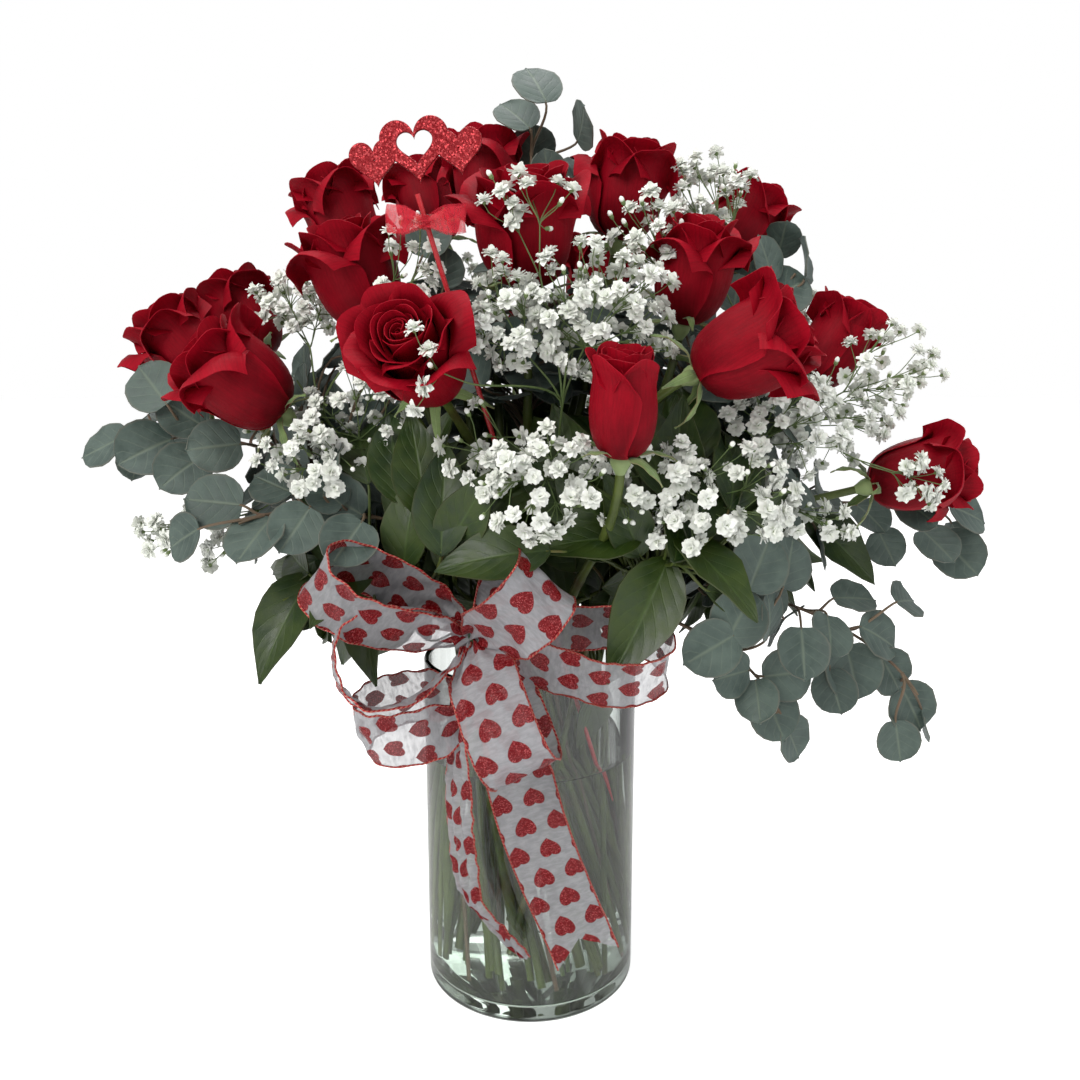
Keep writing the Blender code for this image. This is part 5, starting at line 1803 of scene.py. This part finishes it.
@dataclass
class Bow:
    """Six loops and two tails of wired ribbon, gathered at the waist and wired to the rim."""

    edge_radius: float = 0.00055
    waist_way: tuple[float, float, float] = (0.93, 0.0, 0.36)
    steps: int = 72

    def __post_init__(self) -> None:
        """Works out where the waist is."""
        forward = VASE_DIAMETER / 2 + RIBBON_STANDOFF + BOW_WAIST / 2
        self.centre = vec(-0.029, -forward, VASE_HEIGHT + 0.033)

    def loop(self, plan: LoopPlan, seed: int) -> Strip:
        """A loop that leaves the waist, turns round and comes back to it."""
        z = unit(np.array(plan.way))
        x = np.array(plan.across) - z * float(z @ np.array(plan.across))
        side = unit(x)
        opening = np.cross(z, side)
        t = FULL_TURN * np.linspace(0.02, 0.98, self.steps)
        out = plan.length * (1 - np.cos(t)) / 2
        part = plan.opening / 2 * np.sin(t) * (0.35 + 0.65 * out / plan.length) * 1.3
        line = z * out[:, None] + opening * part[:, None]
        widths = np.minimum(RIBBON_WIDTH, BOW_WAIST * 0.6 + RIBBON_WIDTH * out / 0.028)
        if plan.root:
            lead = np.array(plan.root) * np.linspace(0, 1, 8)[:-1, None]
            line = np.concatenate([lead, line + np.array(plan.root), lead[::-1]])
            widths = np.pad(widths, len(lead), constant_values=widths[0])
        return Strip(self.centre + line, widths, np.tile(side, (len(line), 1)), seed)

    def long_tail(self) -> Strip:
        """The wide tail, which falls from behind the waist and hangs in front of the glass."""
        back = -(VASE_DIAMETER / 2 + 0.007)
        under = vec(self.centre[0] + 0.012, back, self.centre[2] - 0.020)
        end = vec(self.centre[0] + 0.062, back, self.centre[2] - LONG_TAIL)
        s = np.linspace(0, 1, self.steps)[:, None]
        hang = under + (end - under) * s - vec(0.007, 0, 0) * np.sin(pi * s)
        lead = self.centre + (under - self.centre) * np.linspace(0, 1, 8)[:-1, None]
        line = np.concatenate([lead, hang])
        widths = np.concatenate([np.linspace(BOW_WAIST * 0.6, 0.016, 8)[:-1],
                                 np.minimum(RIBBON_WIDTH, 0.016 + 0.056 * s[:, 0])])
        return Strip(line, widths, np.tile(vec(1.0, 0.0, 0.24), (len(line), 1)), 31, fishtail=0.014)

    def short_tail(self) -> Strip:
        """The narrow tail, which hangs turned nearly edge-on beside the first."""
        back = -(VASE_DIAMETER / 2 + 0.010)
        marks = np.array([
            self.centre,
            (self.centre[0] - 0.008, back, self.centre[2] - 0.030),
            (self.centre[0] - 0.010, back - 0.006, self.centre[2] - SHORT_TAIL * 0.60),
            (self.centre[0] - 0.005, back - 0.004, self.centre[2] - SHORT_TAIL * 0.90),
            (self.centre[0] + 0.027, back, self.centre[2] - SHORT_TAIL * 1.13),
        ])
        line = softened(marks, self.steps, 12)
        run = lengths_along(marks)[-1]
        share = np.linspace(0, run, self.steps) / run
        widths = RIBBON_WIDTH * (0.20 + 0.42 * np.sin(pi * share))
        turns = np.radians(65 - 30 * share)
        across = np.stack([np.cos(turns), -np.sin(turns), np.zeros(self.steps)], axis=1)
        return Strip(line, widths, across, 32)

    def waist(self) -> Draft:
        """The gathered middle, a band of cloth pulled in round the folds."""
        draft = Draft()
        turn = np.linspace(0, 2 * pi, 73)[:-1]
        rows = np.linspace(-0.009, 0.009, 13)
        spin = axes(vec(*self.waist_way), vec(0, -1, 0))
        profile = [(0.0, rows[0])] + [(0.0, row) for row in rows] + [(0.0, rows[-1])]
        body = Draft()
        body.add_turned(profile, len(turn))
        points = body.points[0]
        for index, row in enumerate(rows):
            folds = 1 + 0.10 * np.cos(turn * 11 + row * 160)
            radius = BOW_WAIST / 2 * (0.82 + 0.5 * abs(row / 0.009) ** 2) * folds
            ring = slice(index * len(turn), (index + 1) * len(turn))
            points[ring, 0], points[ring, 1] = radius * np.cos(turn), radius * np.sin(turn)
        draft.add(points @ spin.T + self.centre, body.spots[0], body.traits[0],
                  body.quads[0], body.triangles[0])
        return draft

    def wire(self) -> Draft:
        """The wire, twice round the waist, then over the rim and down among the stems."""
        centre = self.centre
        inside, rise = INNER_RADIUS - 0.008, VASE_HEIGHT + 0.012
        bearing = atan2(centre[1], centre[0]) + 0.05
        marks = np.array([
            centre + vec(0.001, BOW_WAIST / 2 + GAP, -0.002),
            polar(bearing, VASE_DIAMETER / 2 + 0.004, rise + 0.008),
            polar(bearing, inside + 0.004, rise),
            polar(bearing, inside, VASE_HEIGHT - 0.012),
            polar(bearing, inside, VASE_HEIGHT - 0.69 * (VASE_HEIGHT - GLASS_FLOOR - WATER_DEPTH)),
        ])
        draft = Draft()
        draft.add_tube(softened(marks, 60, 8), BOW_WIRE_DIAMETER / 2, 8)
        turn = np.linspace(0, 4 * pi, 90)
        spin = axes(vec(*self.waist_way), vec(0, -1, 0))
        radius = BOW_WAIST / 2 * 0.95
        rise = 0.0009 * (turn / 2 / pi - 1)
        ring = np.stack([radius * np.cos(turn), radius * np.sin(turn), rise], axis=1)
        draft.add_tube(ring @ spin.T + centre, BOW_WIRE_DIAMETER / 2 * 0.7, 8)
        return draft

    def build(self, wardrobe: Wardrobe) -> None:
        """Makes the bow's pieces."""
        strips = {f"bow_loop_{i + 1}": self.loop(plan, 20 + i) for i, plan in enumerate(BOW_LOOPS)}
        strips["bow_tail_long"], strips["bow_tail_short"] = self.long_tail(), self.short_tail()
        wardrobe.place(self.waist(), "bow_waist", ["bow_organza"], "bow_ribbon", crease=80)
        for name, strip in strips.items():
            cloth = wardrobe.place(strip.sheet(), name, ["bow_organza"], "bow_ribbon", crease=80)
            wires = wardrobe.place(strip.edges(self.edge_radius), f"{name}_wires",
                                   ["ribbon_edge_wire"], "bow_ribbon")
        wardrobe.place(self.wire(), "bow_wire_twist", ["bow_wire_green"], "bow_wire")


# ---- The pick
@dataclass
class Pick:
    """Three linked glitter hearts on a stick, with a small sheer bow."""

    bevel: float = 0.0004
    ribbon_width: float = 0.013
    outline_steps: int = 96

    def __post_init__(self) -> None:
        """Works out the stick's line."""
        self.low = polar(radians(-34), INNER_RADIUS * 0.90, VASE_HEIGHT - PICK_STICK_DROP)
        self.high = head_centre(PICK_TOP)

    def outline(self, width: float) -> Vec:
        """A heart's outline in the plane of X and Z."""
        t = np.arange(self.outline_steps) * FULL_TURN / self.outline_steps
        x = 16 * np.sin(t) ** 3
        z = 13 * np.cos(t) - 5 * np.cos(2 * t) - 2 * np.cos(3 * t) - np.cos(4 * t)
        return np.stack([x, np.zeros_like(t), z], axis=1) * width / 32

    def add_heart(
        self, draft: Draft, width: float, window: float, place: Vec, turn: Vec, thickness: float
    ) -> None:
        """Adds a plate in the shape of a heart with rounded edges.

        Args:
            draft: What it is added to.
            width: Across the heart.
            window: The width of the heart cut out of its middle.
            place: Where its middle goes.
            turn: Its rotation.
            thickness: From face to face.
        """
        outer, inner = self.outline(width), self.outline(window)
        t, b = thickness / 2, self.bevel
        small, less = 1 - 2 * b / width, 1 + 2 * b / max(window, 1e-6)
        rings = [(outer * small, -t), (outer, -t + b), (outer, t - b), (outer * small, t),
                 (inner * less, t), (inner, t - b), (inner, -t + b), (inner * less, -t)]
        points = np.array([ring + vec(0, y, 0) for ring, y in rings])
        count, steps = points.shape[:2]
        i = np.arange(count * steps).reshape(count, steps)
        j, k = np.roll(i, -1, axis=0), np.roll(i, -1, axis=1)
        quads = np.stack([i, j, np.roll(j, -1, axis=1), k], axis=-1).reshape(-1, 4)
        flat = points.reshape(-1, 3) @ turn.T + place
        draft.add(flat, points.reshape(-1, 3)[:, [0, 2]], np.zeros(flat.shape), quads)

    def hearts(self) -> Draft:
        """The three hearts, the middle one open."""
        small, large = PICK_WIDTH * 0.37, PICK_WIDTH * 0.52
        a = radians(-8)
        turn = np.array([[cos(a), 0, sin(a)], [0, 1, 0], [-sin(a), 0, cos(a)]])
        middle = self.high + vec(0, 0, large * 0.54 + GAP)
        draft = Draft()
        for width, offset, rise, window, proud in (
            (small, -0.32, 0.0, small * 0.02, 0.0),
            (large, 0.0, 0.004, large * 0.52, 0.0003),
            (small, 0.32, 0.0, small * 0.02, 0.0),
        ):
            place = turn @ vec(offset * PICK_WIDTH, 0, rise) + middle
            self.add_heart(draft, width, window, place, turn, PICK_THICKNESS + proud)
        return draft

    def bow(self) -> tuple[Strip, Strip, Draft]:
        """Two small loops and the knot between them."""
        down = unit(self.low - self.high)
        centre = self.high + down * 0.014 - vec(0, PICK_STICK_DIAMETER / 2 + 0.0028 + GAP, 0)
        loops = []
        for sign in (-1, 1):
            t = FULL_TURN * np.linspace(0.03, 0.97, 40)
            out = 0.019 * (1 - np.cos(t)) / 2
            line = centre + np.stack([sign * out, -0.003 * np.sin(t), 0.10 * out], axis=1)
            widths = np.minimum(self.ribbon_width, 0.004 + 0.9 * out)
            across = np.tile(vec(0, 0, 1), (len(line), 1))
            loops.append(Strip(line, widths, across, 50 + sign, 0.0004, 2.0, 11, self.ribbon_width))
        knot = Draft()
        knot.add_tube(centre + vec(0, 0, 1) * np.linspace(-0.0034, 0.0034, 9)[:, None],
                      0.0026 * np.array([0.55, 0.8, 0.92, 0.98, 1.0, 0.98, 0.92, 0.8, 0.55]), 14)
        return loops[0], loops[1], knot

    def build(self, wardrobe: Wardrobe) -> None:
        """Makes the pick's pieces."""
        wardrobe.place(self.hearts(), "pick_hearts_glitter", ["pick_glitter"], "pick_hearts", crease=40)
        stick = Draft()
        line = self.low + (self.high - self.low) * np.linspace(0, 1, 24)[:, None]
        radii = np.full(24, PICK_STICK_DIAMETER / 2)
        radii[0] *= 0.35
        stick.add_tube(line, radii, 14)
        wardrobe.place(stick, "pick_stick_rod", ["pick_stick_red"], "pick_stick")
        left, right, knot = self.bow()
        band = wardrobe.place(knot, "pick_bow_knot", ["pick_organza"], "pick_bow")
        for name, strip in (("pick_bow_left", left), ("pick_bow_right", right)):
            cloth = wardrobe.place(strip.sheet(), name, ["pick_organza"], "pick_bow", crease=80)


# ---- The studio
@dataclass
class Studio:
    """A pale floor, soft lamps and the camera."""

    floor_radius: float = 14.0
    floor_colour: Colour = (0.95, 0.95, 0.95)
    sky_colour: Colour = (1.0, 1.0, 1.0)
    sky_strength: float = 1.0
    sky_light: float = 0.48
    lens: float = 32.3
    sensor: float = 36.0
    camera_place: tuple[float, float, float] = (0.006, -0.563, 0.371)
    camera_tilt: float = 10.0
    aim_height: float = 0.30

    def floor(self) -> None:
        """The floor."""
        draft = Draft()
        edge, top, bottom = self.floor_radius, -0.0004, -0.05
        draft.add_turned([(0.0, bottom), (edge, bottom), (edge, top), (1.0, top), (0.0, top)], 96)
        made = bpy.data.materials.new("studio_floor")
        made.use_nodes = True
        shader = made.node_tree.nodes["Principled BSDF"]
        shader.inputs["Base Color"].default_value = (*self.floor_colour, 1.0)
        shader.inputs["Roughness"].default_value = 0.55
        shader.inputs["Emission Color"].default_value = (1.0, 1.0, 1.0, 1.0)
        lift = self.sky_strength - self.sky_light * self.floor_colour[0]
        desk = Desk(made.node_tree)
        desk.feed(shader, Emission_Strength=desk.mapped(desk.camera_ray(), 0.0, lift))
        draft.build("studio_floor", [made], crease=30)

    def lamp(
        self, name: str, place: tuple[float, float, float], size: float, power: float, colour: Colour
    ) -> None:
        """One square soft lamp that points at the flowers."""
        light = bpy.data.lights.new(name, "AREA")
        light.shape, light.size, light.energy, light.color = "SQUARE", size, power, colour
        made = new_object(name, light)
        made.location = place
        turn = axes(np.array(place) - vec(0, 0, self.aim_height), vec(0, 0, 1))
        made.rotation_euler = Matrix(turn.tolist()).to_euler()

    def sky(self) -> None:
        """A plain pale surround."""
        world = bpy.data.worlds.new("studio_sky")
        world.use_nodes = True
        shader = world.node_tree.nodes["Background"]
        shader.inputs["Color"].default_value = (*self.sky_colour, 1.0)
        desk = Desk(world.node_tree)
        strength = desk.mapped(desk.camera_ray(), self.sky_light, self.sky_strength)
        desk.feed(shader, Strength=strength)
        bpy.context.scene.world = world

    def camera(self) -> None:
        """The camera, tilted down a little."""
        data = bpy.data.cameras.new("camera")
        data.lens, data.sensor_width = self.lens, self.sensor
        made = new_object("camera", data)
        made.location = self.camera_place
        made.rotation_euler = (radians(90 - self.camera_tilt), 0, 0)
        bpy.context.scene.camera = made

    def build(self) -> None:
        """Sets up the studio."""
        self.camera()
        self.floor()
        self.sky()
        self.lamp("key_lamp", (-1.1, -1.5, 1.5), 1.2, 31.0, (1.0, 0.98, 0.95))
        self.lamp("fill_lamp", (1.5, -1.1, 0.9), 1.2, 7.0, (0.96, 0.98, 1.0))
        self.lamp("top_lamp", (0.0, 0.2, 1.9), 1.0, 17.0, (1.0, 1.0, 1.0))
        self.lamp("back_lamp", (0.6, 1.6, 1.2), 1.2, 7.0, (1.0, 1.0, 1.0))
        view = bpy.context.scene.view_settings
        view.view_transform = "Standard"
        view.exposure = 0.0


# ---- The whole
def main() -> None:
    """Builds every piece in order."""
    logging.basicConfig(level=logging.INFO, format="%(name)s: %(message)s")
    Studio().build()
    wardrobe = Wardrobe()
    places = stands()
    Vase().build(wardrobe)
    roses = [Rose(i, head, places[f"rose_{i:02d}"]) for i, head in enumerate(ROSES, 1)]
    for rose in roses:
        rose.build(wardrobe)
    spots = np.array([rose.base + rose.axis * rose.height / 2 for rose in roses])
    sizes = np.array([rose.radius * 0.98 for rose in roses])
    blossoms = [blossom(seed) for seed in range(5)]
    leafy = [
        LeafSpray(name, head, places[name], kind)
        for name, (kind, head) in SPRAYS.items() if kind is not Kind.BREATH
    ]
    filling = Filling().places({spray.name: spray.path for spray in leafy}, spots, sizes)
    for spray in leafy:
        spray.filling = filling[spray.name]
        spray.build(wardrobe)
    for name, (kind, head) in SPRAYS.items():
        if kind is Kind.BREATH:
            BreathSpray(name, head, places[name], spots, sizes).build(wardrobe, blossoms)
    Bow().build(wardrobe)
    Pick().build(wardrobe)


if __name__ == "__main__":
    main()
